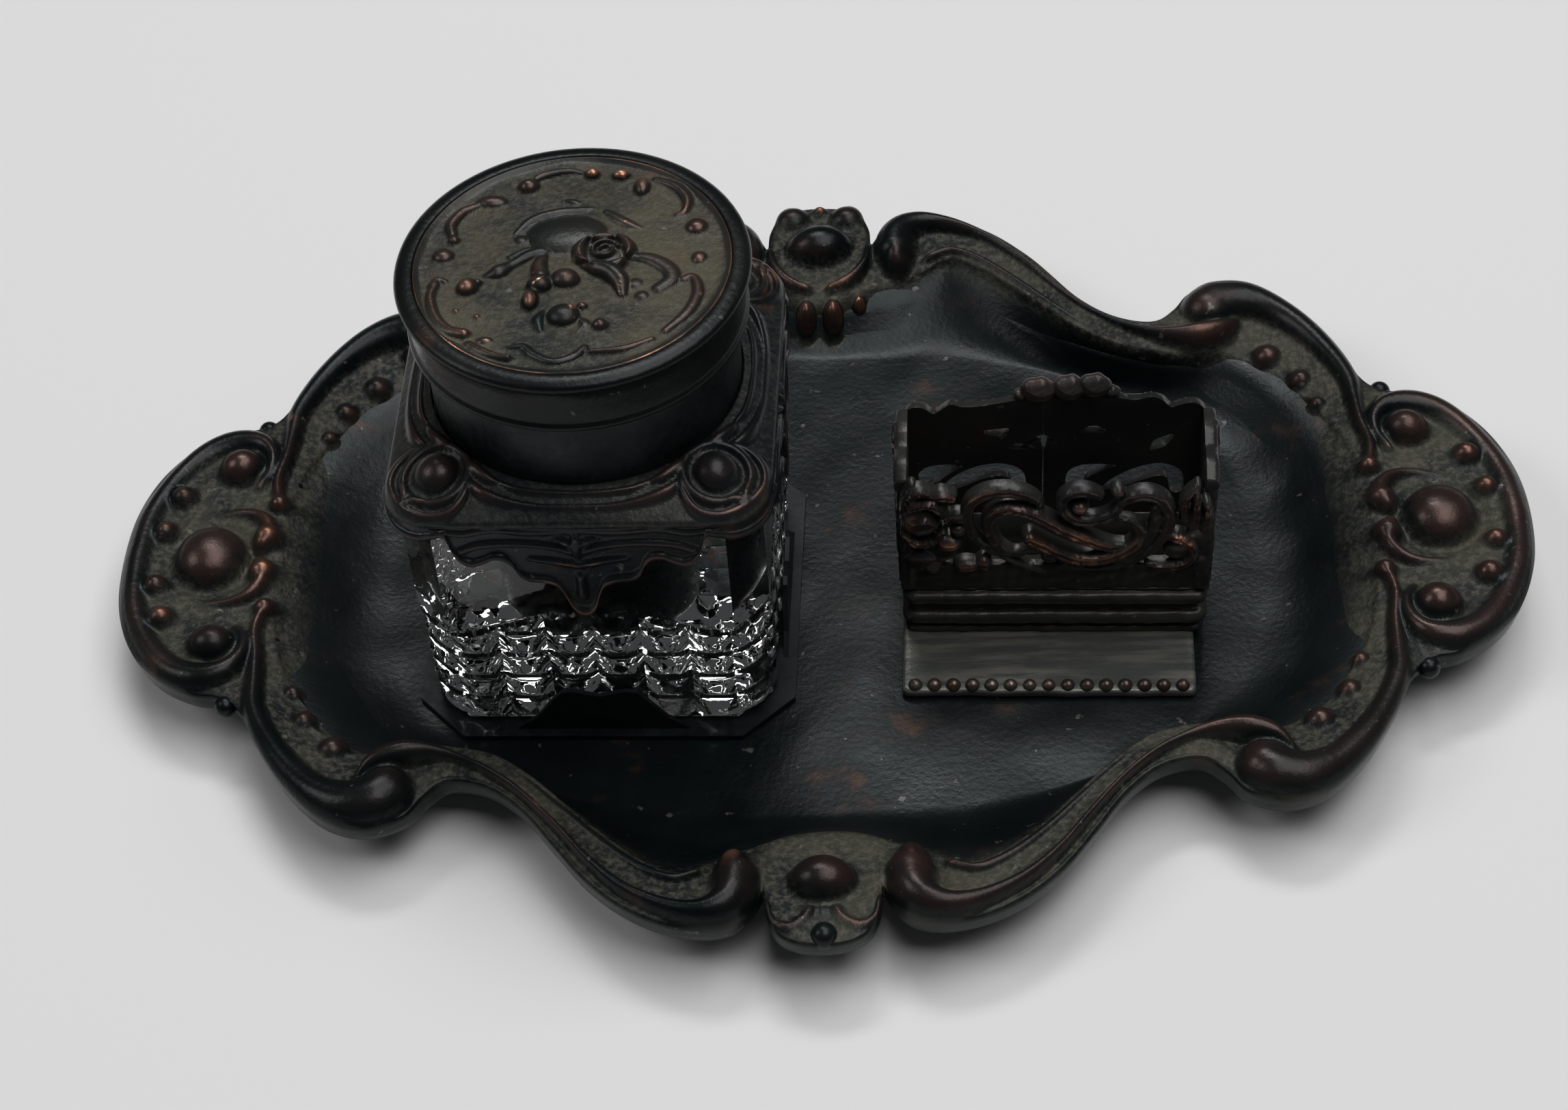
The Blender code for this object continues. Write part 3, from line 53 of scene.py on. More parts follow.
# Stations of one quarter, from the right tip to the middle of the back: outline x and y,
# platform edge x and y with its height over the rim, and how much of the rim is plain arc
STATIONS = [
    (129.0, 0.0, 99.2, 0.0, -0.6, 0.0), (128.0, 11.5, 99.4, 6.5, -0.6, 0.0),
    (124.5, 21.5, 99.3, 11.5, -0.6, 0.0),
    (119.0, 28.5, 98.9, 15.5, -0.8, 0.0), (112.5, 32.3, 98.3, 18.8, -1.0, 0.0),
    (107.5, 33.2, 97.6, 22.0, -1.4, 0.0),
    (103.5, 36.0, 96.4, 25.5, -2.0, 0.0), (99.0, 45.5, 92.6, 32.5, -3.0, 0.0),
    (93.5, 54.5, 87.6, 39.2, -3.2, 0.0),
    (86.5, 61.5, 82.0, 44.0, -3.0, 0.0), (79.0, 64.0, 77.5, 46.0, -2.0, 0.0),
    (72.5, 62.0, 73.2, 45.6, -1.6, 0.0),
    (69.0, 57.5, 69.0, 45.4, -1.2, 0.3), (65.0, 54.6, 64.6, 46.2, -0.8, 0.8),
    (58.0, 56.2, 57.0, 48.6, -0.4, 1.0),
    (51.5, 61.5, 49.8, 53.8, -0.4, 1.0), (46.0, 69.0, 42.8, 60.8, -0.4, 1.0),
    (40.4, 76.5, 36.4, 67.2, -0.4, 1.0),
    (34.0, 82.3, 30.8, 72.0, -0.4, 1.0), (27.0, 86.0, 25.6, 74.4, -0.6, 0.8),
    (20.0, 87.3, 20.8, 72.4, -1.6, 0.2),
    (14.8, 86.0, 15.6, 69.6, -2.4, 0.0), (11.6, 82.0, 12.0, 68.4, -2.2, 0.0),
    (10.2, 79.5, 10.0, 67.8, -2.0, 0.0),
    (9.8, 84.0, 8.4, 67.2, -1.9, 0.0), (8.0, 88.4, 6.4, 66.6, -1.8, 0.0), (4.4, 90.6, 3.2, 66.0, -1.8, 0.0),
    (0.0, 91.2, 0.0, 65.8, -1.8, 0.0)]

# Raised ribbons of one quarter: x, y, half width and top height over the rim at each point
LOBE_ROLL = [
    (126.3, -2.0, 2.7, 2.1), (126.3, 0.0, 2.7, 2.1), (125.3, 10.6, 2.7, 2.1), (122.0, 19.4, 2.7, 2.2),
    (117.2, 26.0, 3.1, 2.6), (111.8, 28.8, 3.4, 3.1), (106.8, 28.2, 2.8, 3.2), (104.0, 24.8, 2.0, 2.9),
    (103.9, 20.6, 1.5, 2.4), (105.8, 17.2, 0.9, 1.6)]
BOSS_SCROLL = [
    (103.4, 2.6, 2.0, 3.0), (102.6, 6.2, 2.0, 2.8), (104.2, 9.2, 1.7, 2.3), (107.2, 10.8, 1.3, 1.6),
    (111.4, 11.0, 1.0, 0.9), (114.6, 10.2, 0.6, 0.3)]
NECK_ROLL = [
    (101.6, 13.6, 1.3, 2.2), (102.3, 18.4, 1.3, 2.2), (101.4, 24.4, 1.5, 2.1), (101.0, 30.6, 1.9, 2.1),
    (100.4, 36.6, 2.3, 2.3), (97.4, 43.8, 2.7, 2.5), (93.2, 50.4, 3.1, 2.9), (87.8, 55.9, 3.7, 3.5),
    (82.3, 58.6, 4.7, 4.2), (77.6, 58.2, 5.4, 4.8), (75.6, 56.8, 5.5, 4.8)]
RIM_SCROLL = [
    (14.9, 77.0, 4.4, 4.4), (15.4, 80.6, 4.2, 4.5), (17.4, 83.2, 3.6, 4.2), (21.4, 84.4, 2.7, 3.7),
    (27.2, 82.9, 2.0, 3.1), (33.8, 79.0, 1.5, 2.6), (39.6, 73.2, 1.1, 2.3), (45.4, 65.6, 0.9, 2.2),
    (51.4, 58.6, 0.9, 2.2), (57.6, 53.4, 1.0, 2.3), (63.4, 50.4, 1.4, 2.7), (68.6, 48.9, 2.2, 3.4),
    (73.6, 49.0, 2.9, 4.0), (78.0, 50.5, 2.3, 3.3), (80.8, 53.0, 0.9, 1.4)]
INNER_RIDGE = [
    (21.6, 75.2, 0.9, 1.0), (26.2, 76.6, 1.2, 1.5), (31.8, 73.8, 1.2, 1.4), (37.6, 68.6, 1.1, 1.2),
    (44.0, 62.0, 1.0, 1.0), (50.8, 55.2, 0.9, 0.8), (57.4, 50.2, 0.8, 0.6)]
BEAD_TAILS = [
    [(94.5, 31.6, 1.2, -1.4), (92.8, 33.6, 0.9, -1.9), (91.0, 34.8, 0.5, -2.6)],
    [(91.9, 38.4, 1.6, -1.0), (89.6, 40.4, 1.2, -1.6), (87.2, 41.4, 0.6, -2.4)],
    [(86.2, 45.1, 1.8, -0.8), (83.4, 46.2, 1.3, -1.4), (80.6, 46.4, 0.6, -2.2)]]
SWAG = [
    (9.8, 78.4, 0.8, 1.3), (9.2, 74.4, 1.2, 1.8), (7.2, 70.8, 1.4, 1.6), (4.6, 68.4, 1.4, 1.4),
    (2.4, 67.6, 1.2, 1.0)]
FRONT_LIP = [
    (2.2, -84.2, 0.9, 1.7), (3.4, -86.2, 1.0, 1.5), (6.2, -87.6, 1.0, 1.3), (8.8, -86.0, 0.8, 1.0),
    (9.6, -82.4, 0.7, 0.8)]

# Domes: x, y, half sizes along x and y, foot and top height over the rim
LOBE_DOMES = [
    (112.7, 0.2, 6.7, 6.8, -0.6, 5.0), (109.4, 21.8, 4.7, 4.3, -0.6, 4.9), (119.6, 14.9, 3.0, 2.8, -0.6, 3.3),
    (121.9, 6.6, 2.6, 2.5, -0.6, 3.0), (102.7, 4.2, 3.2, 3.0, -1.2, 3.5), (101.4, 12.7, 2.5, 2.4, -1.6, 2.6),
    (94.5, 31.6, 2.3, 2.2, -3.8, -0.3), (91.9, 38.4, 2.8, 2.8, -4.0, 0.2), (86.2, 45.1, 3.4, 3.3, -4.0, 0.6)]
BACK_DOMES = [
    (0.0, 78.9, 6.7, 5.1, -0.6, 5.0), (5.3, 87.4, 3.7, 3.4, -0.6, 2.6), (0.0, 89.2, 1.7, 1.6, -0.4, 2.2),
    (2.6, 63.6, 2.2, 3.2, -6.5, -0.4), (7.8, 65.4, 1.5, 1.5, -5.5, -0.8)]
FRONT_DOMES = [
    (0.0, 78.2, 6.0, 4.7, -0.6, 4.6), (0.0, 84.6, 1.8, 2.6, -0.8, 0.9), (3.0, 67.0, 3.4, 1.6, -5.5, -1.2)]
NUBS = [(106.2, 34.4, -1.6, 2.0), (99.6, 19.5, -2.2, 1.5)]
PENDANT_BALL = (0.0, -88.9, -0.2, 2.3)


def smooth_path(points, steps, closed=False):
    """Rows along a smooth curve through the given rows, whatever their columns mean."""
    p = np.array(points, float)
    if closed:
        p = np.vstack([p[-1:], p, p[:2]])
    else:
        p = np.vstack([2 * p[0] - p[1], p, 2 * p[-1] - p[-2]])
    t = np.linspace(0, 1, steps, endpoint=False)[:, None]
    rows = []
    for a, b, c, d in zip(p, p[1:], p[2:], p[3:]):
        square = 2 * a - 5 * b + 4 * c - d
        rows.append(0.5 * (2 * b + (c - a) * t + square * t ** 2 + (3 * b - a - 3 * c + d) * t ** 3))
    made = np.vstack(rows)
    return made if closed else np.vstack([made, p[-2]])


def along(path, x, y):
    """Distance from each place to a path, and the path's further columns at the nearest spot."""
    far = np.full(x.shape, 1e9)
    extra = np.zeros(x.shape + (path.shape[1] - 2,))
    for a, b in zip(path, path[1:]):
        run = b[:2] - a[:2]
        t = np.clip(((x - a[0]) * run[0] + (y - a[1]) * run[1]) / max(run @ run, 1e-9), 0, 1)
        gap = np.hypot(x - a[0] - t * run[0], y - a[1] - t * run[1])
        near = gap < far
        far[near] = gap[near]
        extra[near] = (a[2:] + t[..., None] * (b[2:] - a[2:]))[near]
    return far, extra


def raise_ribbon(z, x, y, points, foot, steps=6, flat=1.0):
    """Lifts the surface to a round-backed ribbon along a path; rows are x, y, half width and top."""
    path = smooth_path(points, steps)
    reach = path[:, 2].max()
    inside = ((x > path[:, 0].min() - reach) & (x < path[:, 0].max() + reach)
              & (y > path[:, 1].min() - reach) & (y < path[:, 1].max() + reach))
    gap, extra = along(path, x[inside], y[inside])
    share = np.clip(1 - (gap / np.maximum(extra[:, 0], 0.05)) ** 2, 0, 1) ** (0.5 * flat)
    lifted = np.where(share > 0, foot + (extra[:, 1] - foot) * share, -1e9)
    z[inside] = np.maximum(z[inside], lifted)


def raise_dome(z, x, y, dome):
    """Lifts the surface to an oval dome."""
    cx, cy, rx, ry, foot, top = dome
    q = ((x - cx) / rx) ** 2 + ((y - cy) / ry) ** 2
    z[:] = np.where(q < 1, np.maximum(z, foot + (top - foot) * np.sqrt(np.clip(1 - q, 0, 1))), z)


def even_rows(rows, count):
    """The rows resampled to an even spacing in x and y round a closed line."""
    closed = np.vstack([rows, rows[:1]])
    length = np.concatenate([[0], np.cumsum(np.hypot(*np.diff(closed[:, :2], axis=0).T))])
    want = np.linspace(0, length[-1], count, endpoint=False)
    return np.stack([np.interp(want, length, column) for column in closed.T], 1)


def grid_mesh(name, x, y, z, wrap=True, cap_ends=False):
    """A mesh over rows of points, in millimetres; wrap closes each row to a loop."""
    rows, count = z.shape
    mesh = bpy.data.meshes.new(name)
    places = np.stack([x, y, z], -1).reshape(-1, 3) * MM
    i = np.arange(rows - 1)[:, None] * count
    j = np.arange(count if wrap else count - 1)[None]
    k = (j + 1) % count
    faces = np.stack([i + j, i + k, i + count + k, i + count + j], -1).reshape(-1, 4)
    mesh.vertices.add(len(places))
    mesh.vertices.foreach_set("co", places.ravel())
    mesh.loops.add(faces.size)
    mesh.loops.foreach_set("vertex_index", faces.ravel().astype(np.int32))
    mesh.polygons.add(len(faces))
    mesh.polygons.foreach_set("loop_start", np.arange(len(faces), dtype=np.int32) * 4)
    mesh.update(calc_edges=True)
    mesh.shade_smooth()
    if cap_ends:
        bm = bmesh.new()
        bm.from_mesh(mesh)
        bmesh.ops.holes_fill(bm, edges=[e for e in bm.edges if e.is_boundary], sides=0)
        bm.to_mesh(mesh)
        bm.free()
    return mesh


def note(mesh, name, values):
    """Keeps one number per vertex on the mesh, for its material to read."""
    layer = mesh.attributes.new(name, "FLOAT", "POINT")
    full = np.zeros(len(mesh.vertices), np.float32)
    full[:values.size] = values.ravel()
    layer.data.foreach_set("value", full)


def blurred(z, times, wrap=True):
    """A grid smoothed over its neighbours."""
    for _ in range(times):
        side = np.roll(z, 1, 1) + np.roll(z, -1, 1) if wrap else (
            np.hstack([z[:, :1], z[:, :-1]]) + np.hstack([z[:, 1:], z[:, -1:]]))
        across = np.vstack([z[:1], z[:-1]]) + np.vstack([z[1:], z[-1:]])
        z = (2 * z + side + across) / 6
    return z


def waves(x, y, size, seed):
    """A gentle uneven surface between about -1 and 1, with lumps of the given size."""
    rng = np.random.default_rng(seed)
    total = np.zeros(np.shape(x))
    for _ in range(7):
        angle, phase = rng.uniform(0, math.tau, 2)
        turn = math.tau / (size * rng.uniform(0.7, 1.5))
        total += np.sin((x * math.cos(angle) + y * math.sin(angle)) * turn + phase)
    return total / 3.5


def piece(name, mesh, material, body, slot, *nodes):
    """Puts a finished mesh in the scene, on its body, in place of the CAD nodes it stands for."""
    made = bpy.data.objects.new(name, mesh)
    bpy.context.scene.collection.objects.link(made)
    mesh.materials.clear()
    mesh.materials.append(material)
    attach(made, body)
    if nodes:
        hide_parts(*nodes)
    return made


def join_meshes(target, *others):
    """Adds other closed meshes to the target as further shells of the same casting."""
    bm = bmesh.new()
    bm.from_mesh(target)
    for other in others:
        bm.from_mesh(other)
    bm.to_mesh(target)
    bm.free()
    target.shade_smooth()
    return target


def ball_mesh(places, around=28, rows=16):
    """Balls or ellipsoids in millimetres, each given as (x, y, z, radius or half sizes)."""
    mesh = bpy.data.meshes.new("balls")
    bm = bmesh.new()
    for x, y, z, radius in places:
        size = radius if isinstance(radius, tuple) else (radius,) * 3
        made = bmesh.ops.create_uvsphere(bm, u_segments=around, v_segments=rows, radius=MM)
        bmesh.ops.scale(bm, vec=size, verts=made["verts"])
        bmesh.ops.translate(bm, vec=(x * MM, y * MM, z * MM), verts=made["verts"])
    bm.to_mesh(mesh)
    bm.free()
    return mesh


def full_stations():
    """The quarter's stations mirrored to the whole rim, evenly spaced along the outline."""
    quarter = np.array(STATIONS)
    left = quarter[:-1][::-1] * (-1, 1, -1, 1, 1, 1)
    back = np.vstack([quarter, left])
    front = back[1:-1][::-1] * (1, -1, 1, -1, 1, 1)
    return even_rows(smooth_path(np.vstack([back, front]), 10, closed=True), POINTS_ROUND)


def softened(rows, reach):
    """Rows round a closed line, each averaged with its neighbours."""
    kernel = np.hanning(2 * reach + 3)[1:-1]
    padded = np.vstack([rows[-reach:], rows, rows[:reach]])
    return np.stack([np.convolve(column, kernel / kernel.sum(), "valid") for column in padded.T], 1)


def floor_edge(stations):
    """The oval where the dish becomes flat, one place for each station."""
    half_length, half_width, square = 79.0, 56.2, 2.6
    u, v = stations[:, 2] / half_length, stations[:, 3] / half_width
    power = square / 2
    angle = np.unwrap(np.arctan2(np.sign(v) * np.abs(v) ** power, np.sign(u) * np.abs(u) ** power))
    reach = POINTS_ROUND // 20
    turn = angle[-1] - angle[0] > 0
    padded = np.concatenate([angle[-reach:] - math.tau * turn, angle, angle[:reach] + math.tau * turn])
    kernel = np.hanning(2 * reach + 3)[1:-1]
    angle = np.convolve(padded, kernel / kernel.sum(), "valid")
    c, s = np.cos(angle), np.sin(angle)
    return np.stack([half_length * np.sign(c) * np.abs(c) ** (2 / square),
                     half_width * np.sign(s) * np.abs(s) ** (2 / square)], 1)


def rim_height(x, y, share, edge_height, arc):
    """Heights of the rim's ornament over the platform, and where its ground is left sandy."""
    ax, ay = np.abs(x), np.abs(y)
    ground = edge_height * np.clip((share - 0.25) / 0.75, 0, 1) ** 1.3
    gap = rim_gap(x, y)
    band = 1.3 * np.clip((gap - 0.6) / 2.4, 0, 1) ** 1.4 - 0.5 * np.clip((gap - 3.2) / 1.6, 0, 1)
    lip = 0.55 * np.clip(1 - ((gap - 0.6) / 0.6) ** 2, 0, 1)
    ground = ground + arc * np.maximum(band, lip) + (1 - arc) * 0.3 * np.clip(gap / 1.2, 0, 1)
    ground -= 0.9 * np.exp(-((np.hypot(ax - 112.7, y) - 7.9) / 1.2) ** 2) * (np.abs(y) < 11)
    z = ground.copy()
    for points in (LOBE_ROLL, BOSS_SCROLL, NECK_ROLL, RIM_SCROLL):
        raise_ribbon(z, ax, ay, points, -1.2)
    raise_ribbon(z, ax, ay, INNER_RIDGE, -0.8)
    for points in BEAD_TAILS:
        raise_ribbon(z, ax, ay, points, -3.6, steps=3)
    for dome in LOBE_DOMES:
        raise_dome(z, ax, ay, dome)
    for sign, domes in ((1, BACK_DOMES), (-1, FRONT_DOMES)):
        there = np.where(y * sign > 0, ay, 1e3)
        for dome in domes:
            raise_dome(z, ax, there, dome)
    raise_ribbon(z, ax, y, SWAG, -1.4)
    raise_ribbon(z, ax, y, FRONT_LIP, -0.6)
    raise_dome(z, ax, ay, (15.1, 75.6, 4.4, 6.2, -7.5, 4.2))
    return z, ground


def rim_gap(x, y):
    """Distance in from the tray's outline."""
    line = full_stations()[::2, :2]
    line = np.vstack([line, line[:1]])
    far = np.full(x.shape, 1e9)
    for start in range(0, len(line) - 1):
        a, b = line[start], line[start + 1]
        near = (np.abs(x - a[0]) < 9) & (np.abs(y - a[1]) < 9)
        if near.any():
            gap, _ = along(np.array([a, b]), x[near], y[near])
            far[near] = np.minimum(far[near], gap)
    return np.minimum(far, 9)


def make_tray():
    stations = full_stations()
    outline, edge, edge_height, arc = stations[:, :2], stations[:, 2:4], stations[:, 4], stations[:, 5]
    floor = floor_edge(stations)

    share = np.linspace(0, 1, PLATFORM_ROWS)[:, None]
    px = outline[None, :, 0] + share * (edge - outline)[None, :, 0]
    py = outline[None, :, 1] + share * (edge - outline)[None, :, 1]
    pz, ground = rim_height(px, py, share, edge_height[None], arc[None])

    drop = np.linspace(0, 1, COVE_ROWS + 1)[1:, None]
    calm = np.clip(drop / 0.4, 0, 1) ** 2 * (3 - 2 * np.clip(drop / 0.4, 0, 1))
    lips = softened(np.column_stack([edge, edge_height]), 36)
    lip_x, lip_y, lip_z = (a * (1 - calm) + b * calm for a, b in zip((*edge.T, edge_height), lips.T))
    cx = lip_x + drop * (floor[None, :, 0] - lip_x)
    cy = lip_y + drop * (floor[None, :, 1] - lip_y)
    cove = FLOOR_LEVEL + (lip_z - FLOOR_LEVEL) * (1 - drop) ** 1.9
    cz = cove.copy()
    ax, ay = np.abs(cx), np.abs(cy)
    for sign, domes in ((1, BACK_DOMES), (-1, FRONT_DOMES)):
        there = np.where(cy * sign > 0, ay, 1e3)
        for dome in domes:
            raise_dome(cz, ax, there, dome)
    raise_dome(cz, ax, ay, (15.1, 75.6, 4.4, 6.2, -7.5, 4.2))
    for dome in LOBE_DOMES:
        raise_dome(cz, ax, ay, dome)
    raise_ribbon(cz, ax, cy, SWAG, -3.5)
    raise_ribbon(cz, ax, ay, RIM_SCROLL, -3.5)
    for points in BEAD_TAILS:
        raise_ribbon(cz, ax, ay, points, -3.6, steps=3)

    rest = (1 - np.linspace(0, 1, 17)[1:-1] ** 0.9)[:, None]
    fx, fy = rest * floor[None, :, 0], rest * floor[None, :, 1]
    fz = np.full(fx.shape, FLOOR_LEVEL)

    wall = []
    way = (floor - outline) / np.hypot(*(floor - outline).T)[:, None]
    for inset, height in ((0.15, -1.2), (0.35, -2.4), (0.7, -3.9), (1.3, -4.4), (2.6, -3.4), (6.0, -2.6)):
        wall.append((outline + way * inset, height))
    for step, height in ((0.0, -2.6), (0.3, -4.6), (0.65, -9.4), (1.0, UNDERSIDE)):
        wall.append((edge + (floor - edge) * step, height))
    for inset, height in ((1.0, UNDERSIDE), (1.0, -RIM_HEIGHT), (4.0, -RIM_HEIGHT), (4.0, UNDERSIDE)):
        wall.append((floor * (1 - inset / np.hypot(*floor.T))[:, None], height))
    wall.append((floor * 0.5, UNDERSIDE))
    wall.append((floor * 0.02, UNDERSIDE))
    ux = np.array([place[:, 0] for place, _ in wall])[::-1]
    uy = np.array([place[:, 1] for place, _ in wall])[::-1]
    uz = np.array([np.full(POINTS_ROUND, height) for _, height in wall])[::-1]

    x, y = np.vstack([ux, px, cx, fx]), np.vstack([uy, py, cy, fy])
    z = np.vstack([uz, pz, cz, fz])
    x = x + 0.35 * waves(x, y, 60, 3)
    y = y + 0.30 * waves(x, y, 55, 4)
    z[len(uz):] += 0.10 * waves(x, y, 14, 5)[len(uz):]
    z[len(uz) + len(pz):] += 0.07 * waves(x, y, 30, 6)[len(uz) + len(pz):]
    top = z[len(uz):]
    near = np.exp(-((np.arange(len(top)) - len(pz)) / 4.0) ** 2)[:, None]
    plain = np.clip(1 - 3 * np.abs(np.vstack([pz - ground, cz - cove, 0 * fz])), 0, 1)
    share = blurred(near * plain, 2)
    top = blurred(top, 1) * (1 - share) + blurred(top, 24) * share
    soft = np.vstack([z[:len(uz)], top])
    mesh = grid_mesh("tray_casting", x, y, soft + RIM_HEIGHT, cap_ends=True)

    rise = np.zeros(z.shape)
    rise[len(uz):len(uz) + len(pz)] = pz - ground
    rise[len(uz) + len(pz):len(uz) + len(pz) + len(cz)] = cz - cove
    relief = rise * 0.7 - 0.7 * blurred(rise, 50)
    sand = np.zeros(z.shape)
    near_ground = np.clip(1 - (pz - ground) / 0.25, 0, 1)
    sand[len(uz):len(uz) + len(pz)] = near_ground * np.clip(rim_gap(px, py) / 1.2, 0, 1)
    sand[len(uz) + len(pz):len(uz) + len(pz) + 6] = np.array([0.9, 0.7, 0.5, 0.3, 0.2, 0.1])[:, None] * (
        np.clip((np.abs(edge[:, 0]) - 70) / 20, 0, 1))[None]
    sand = blurred(sand, 5)
    note(mesh, "relief", relief)
    note(mesh, "sand", sand)
    balls = [(sx * nx, sy * ny, RIM_HEIGHT + nz, r)
             for nx, ny, nz, r in NUBS for sx in (-1, 1) for sy in (-1, 1)]
    bx, by, bz, radius = PENDANT_BALL
    balls.append((bx, by, RIM_HEIGHT + bz, radius))
    return join_meshes(mesh, ball_mesh(balls))


PLAIN_ROUGHNESS = 0.27


def mixed(nodes, links, kind, factor, a, b, blend="MIX"):
    """A mix of two colours by a factor; each may be a socket or a plain value."""
    made = nodes.new("ShaderNodeMix")
    made.data_type = "RGBA"
    made.blend_type = blend
    made.label = kind
    for slot, value in (("Factor", factor), ("A", a), ("B", b)):
        socket = [s for s in made.inputs if s.name == slot and s.enabled][0]
        if isinstance(value, bpy.types.NodeSocket):
            links.new(value, socket)
        else:
            socket.default_value = value
    return [s for s in made.outputs if s.enabled][0]


def stepped(nodes, links, value, low, high, smooth=True):
    """A value brought to 0 at low and 1 at high."""
    made = nodes.new("ShaderNodeMapRange")
    made.interpolation_type = "SMOOTHSTEP" if smooth else "LINEAR"
    made.clamp = True
    made.inputs["From Min"].default_value = low
    made.inputs["From Max"].default_value = high
    links.new(value, made.inputs["Value"])
    return made.outputs["Result"]


def worked(nodes, links, operation, a, b):
    """Arithmetic on two values; each may be a socket or a number."""
    made = nodes.new("ShaderNodeMath")
    made.operation = operation
    for socket, value in zip(made.inputs, (a, b)):
        if isinstance(value, bpy.types.NodeSocket):
            links.new(value, socket)
        else:
            socket.default_value = value
    return made.outputs[0]


def cloud(nodes, links, place, scale, detail=4.0, rough=0.55):
    """Noise at a scale given in lumps per metre."""
    made = nodes.new("ShaderNodeTexNoise")
    made.inputs["Scale"].default_value = scale
    made.inputs["Detail"].default_value = detail
    made.inputs["Roughness"].default_value = rough
    links.new(place, made.inputs["Vector"])
    return made.outputs["Fac"]


BROWN_WASH = (0.080, 0.047, 0.040, 1)
SAND_GRAIN = (0.105, 0.095, 0.075, 1)


def patinated(name, dark, sheen, rub, verdigris, rub_level, green_level, rust_level):
    """Nearly black patina on cast copper plate: sheen, rubbed copper on high spots, verdigris in hollows."""
    made = bpy.data.materials.new(name)
    made.use_nodes = True
    nodes, links = made.node_tree.nodes, made.node_tree.links
    shader = nodes["Principled BSDF"]
    place = nodes.new("ShaderNodeTexCoord").outputs["Object"]
    relief = nodes.new("ShaderNodeAttribute")
    relief.attribute_name = "relief"
    sand = nodes.new("ShaderNodeAttribute")
    sand.attribute_name = "sand"
    broad = cloud(nodes, links, place, 26, 3)
    patches = cloud(nodes, links, place, 70, 5, 0.6)
    grain = cloud(nodes, links, place, 900, 3, 0.6)
    specks = cloud(nodes, links, place, 420, 2, 0.5)

    base = mixed(nodes, links, "smoky clouds", stepped(nodes, links, broad, 0.35, 0.68), dark, sheen)
    rust_spot = worked(nodes, links, "MULTIPLY", stepped(nodes, links, patches, 0.60, 0.74), rust_level)
    base = mixed(nodes, links, "rusty patches", rust_spot, base, (0.060, 0.028, 0.017, 1))
    hollow = stepped(nodes, links, relief.outputs["Fac"], -0.15, -0.9)
    hollow = worked(nodes, links, "MAXIMUM", hollow, sand.outputs["Fac"])
    green = worked(nodes, links, "MULTIPLY", hollow, stepped(nodes, links, patches, 0.36, 0.62))
    green = worked(nodes, links, "MULTIPLY", green, green_level)
    green = worked(nodes, links, "MULTIPLY", green, stepped(nodes, links, broad, 0.26, 0.56))
    base = mixed(nodes, links, "verdigris", green, base, verdigris)
    coarse = worked(nodes, links, "MULTIPLY", stepped(nodes, links, grain, 0.40, 0.70), sand.outputs["Fac"])
    base = mixed(nodes, links, "sandy grain", worked(nodes, links, "MULTIPLY", coarse, 0.55),
                 base, SAND_GRAIN)
    brown = stepped(nodes, links, relief.outputs["Fac"], -0.05, 0.9)
    brown = worked(nodes, links, "MULTIPLY", brown, stepped(nodes, links, broad, 0.38, 0.62))
    base = mixed(nodes, links, "brown wash", worked(nodes, links, "MULTIPLY", brown, 0.8), base, BROWN_WASH)
    high = stepped(nodes, links, relief.outputs["Fac"], 0.6, 2.0)
    sharp = nodes.new("ShaderNodeNewGeometry").outputs["Pointiness"]
    crest = worked(nodes, links, "MULTIPLY", stepped(nodes, links, sharp, 0.53, 0.62),
                   stepped(nodes, links, relief.outputs["Fac"], 0.1, 0.5))
    high = worked(nodes, links, "MAXIMUM", high, crest)
    worn = worked(nodes, links, "MULTIPLY", high, stepped(nodes, links, patches, 0.46, 0.66))
    worn = worked(nodes, links, "MULTIPLY", worn, rub_level)
    base = mixed(nodes, links, "rubbed copper", worn, base, rub)
    dust = worked(nodes, links, "MULTIPLY", stepped(nodes, links, specks, 0.70, 0.76), 0.35)
    base = mixed(nodes, links, "pale specks", dust, base, (0.20, 0.21, 0.18, 1))
    links.new(base, shader.inputs["Base Color"])

    bare = worked(nodes, links, "ADD", worked(nodes, links, "MULTIPLY", worn, 0.5),
                  worked(nodes, links, "MULTIPLY", brown, 0.35))
    links.new(worked(nodes, links, "ADD", bare, 0.4), shader.inputs["Metallic"])
    shader.inputs["Specular IOR Level"].default_value = 0.25
    rough = worked(nodes, links, "MULTIPLY", sand.outputs["Fac"], 0.30)
    worn_smoother = worked(nodes, links, "MULTIPLY", worn, -0.06)
    worn_smoother = worked(nodes, links, "ADD", worn_smoother, PLAIN_ROUGHNESS)
    rough = worked(nodes, links, "ADD", rough, worn_smoother)
    wander = worked(nodes, links, "MULTIPLY", stepped(nodes, links, patches, 0.3, 0.7), 0.10)
    links.new(worked(nodes, links, "ADD", rough, wander), shader.inputs["Roughness"])

    bump = nodes.new("ShaderNodeBump")
    bump.inputs["Strength"].default_value = 0.55
    bump.inputs["Distance"].default_value = 0.0005
    pits = worked(nodes, links, "MULTIPLY", grain, worked(nodes, links, "ADD", sand.outputs["Fac"], 0.25))
    height = worked(nodes, links, "ADD", pits, worked(nodes, links, "MULTIPLY", patches, 0.5))
    links.new(height, bump.inputs["Height"])
    links.new(bump.outputs["Normal"], shader.inputs["Normal"])
    return made


tray_patina = patinated(
    "tray patina", (0.0030, 0.0055, 0.0062, 1), (0.0095, 0.0130, 0.0130, 1), (0.46, 0.21, 0.13, 1),
    (0.056, 0.056, 0.041, 1), 0.85, 0.8, 0.55)
piece("tray_casting", make_tray(), tray_patina, "stand", "bronze", "tray")

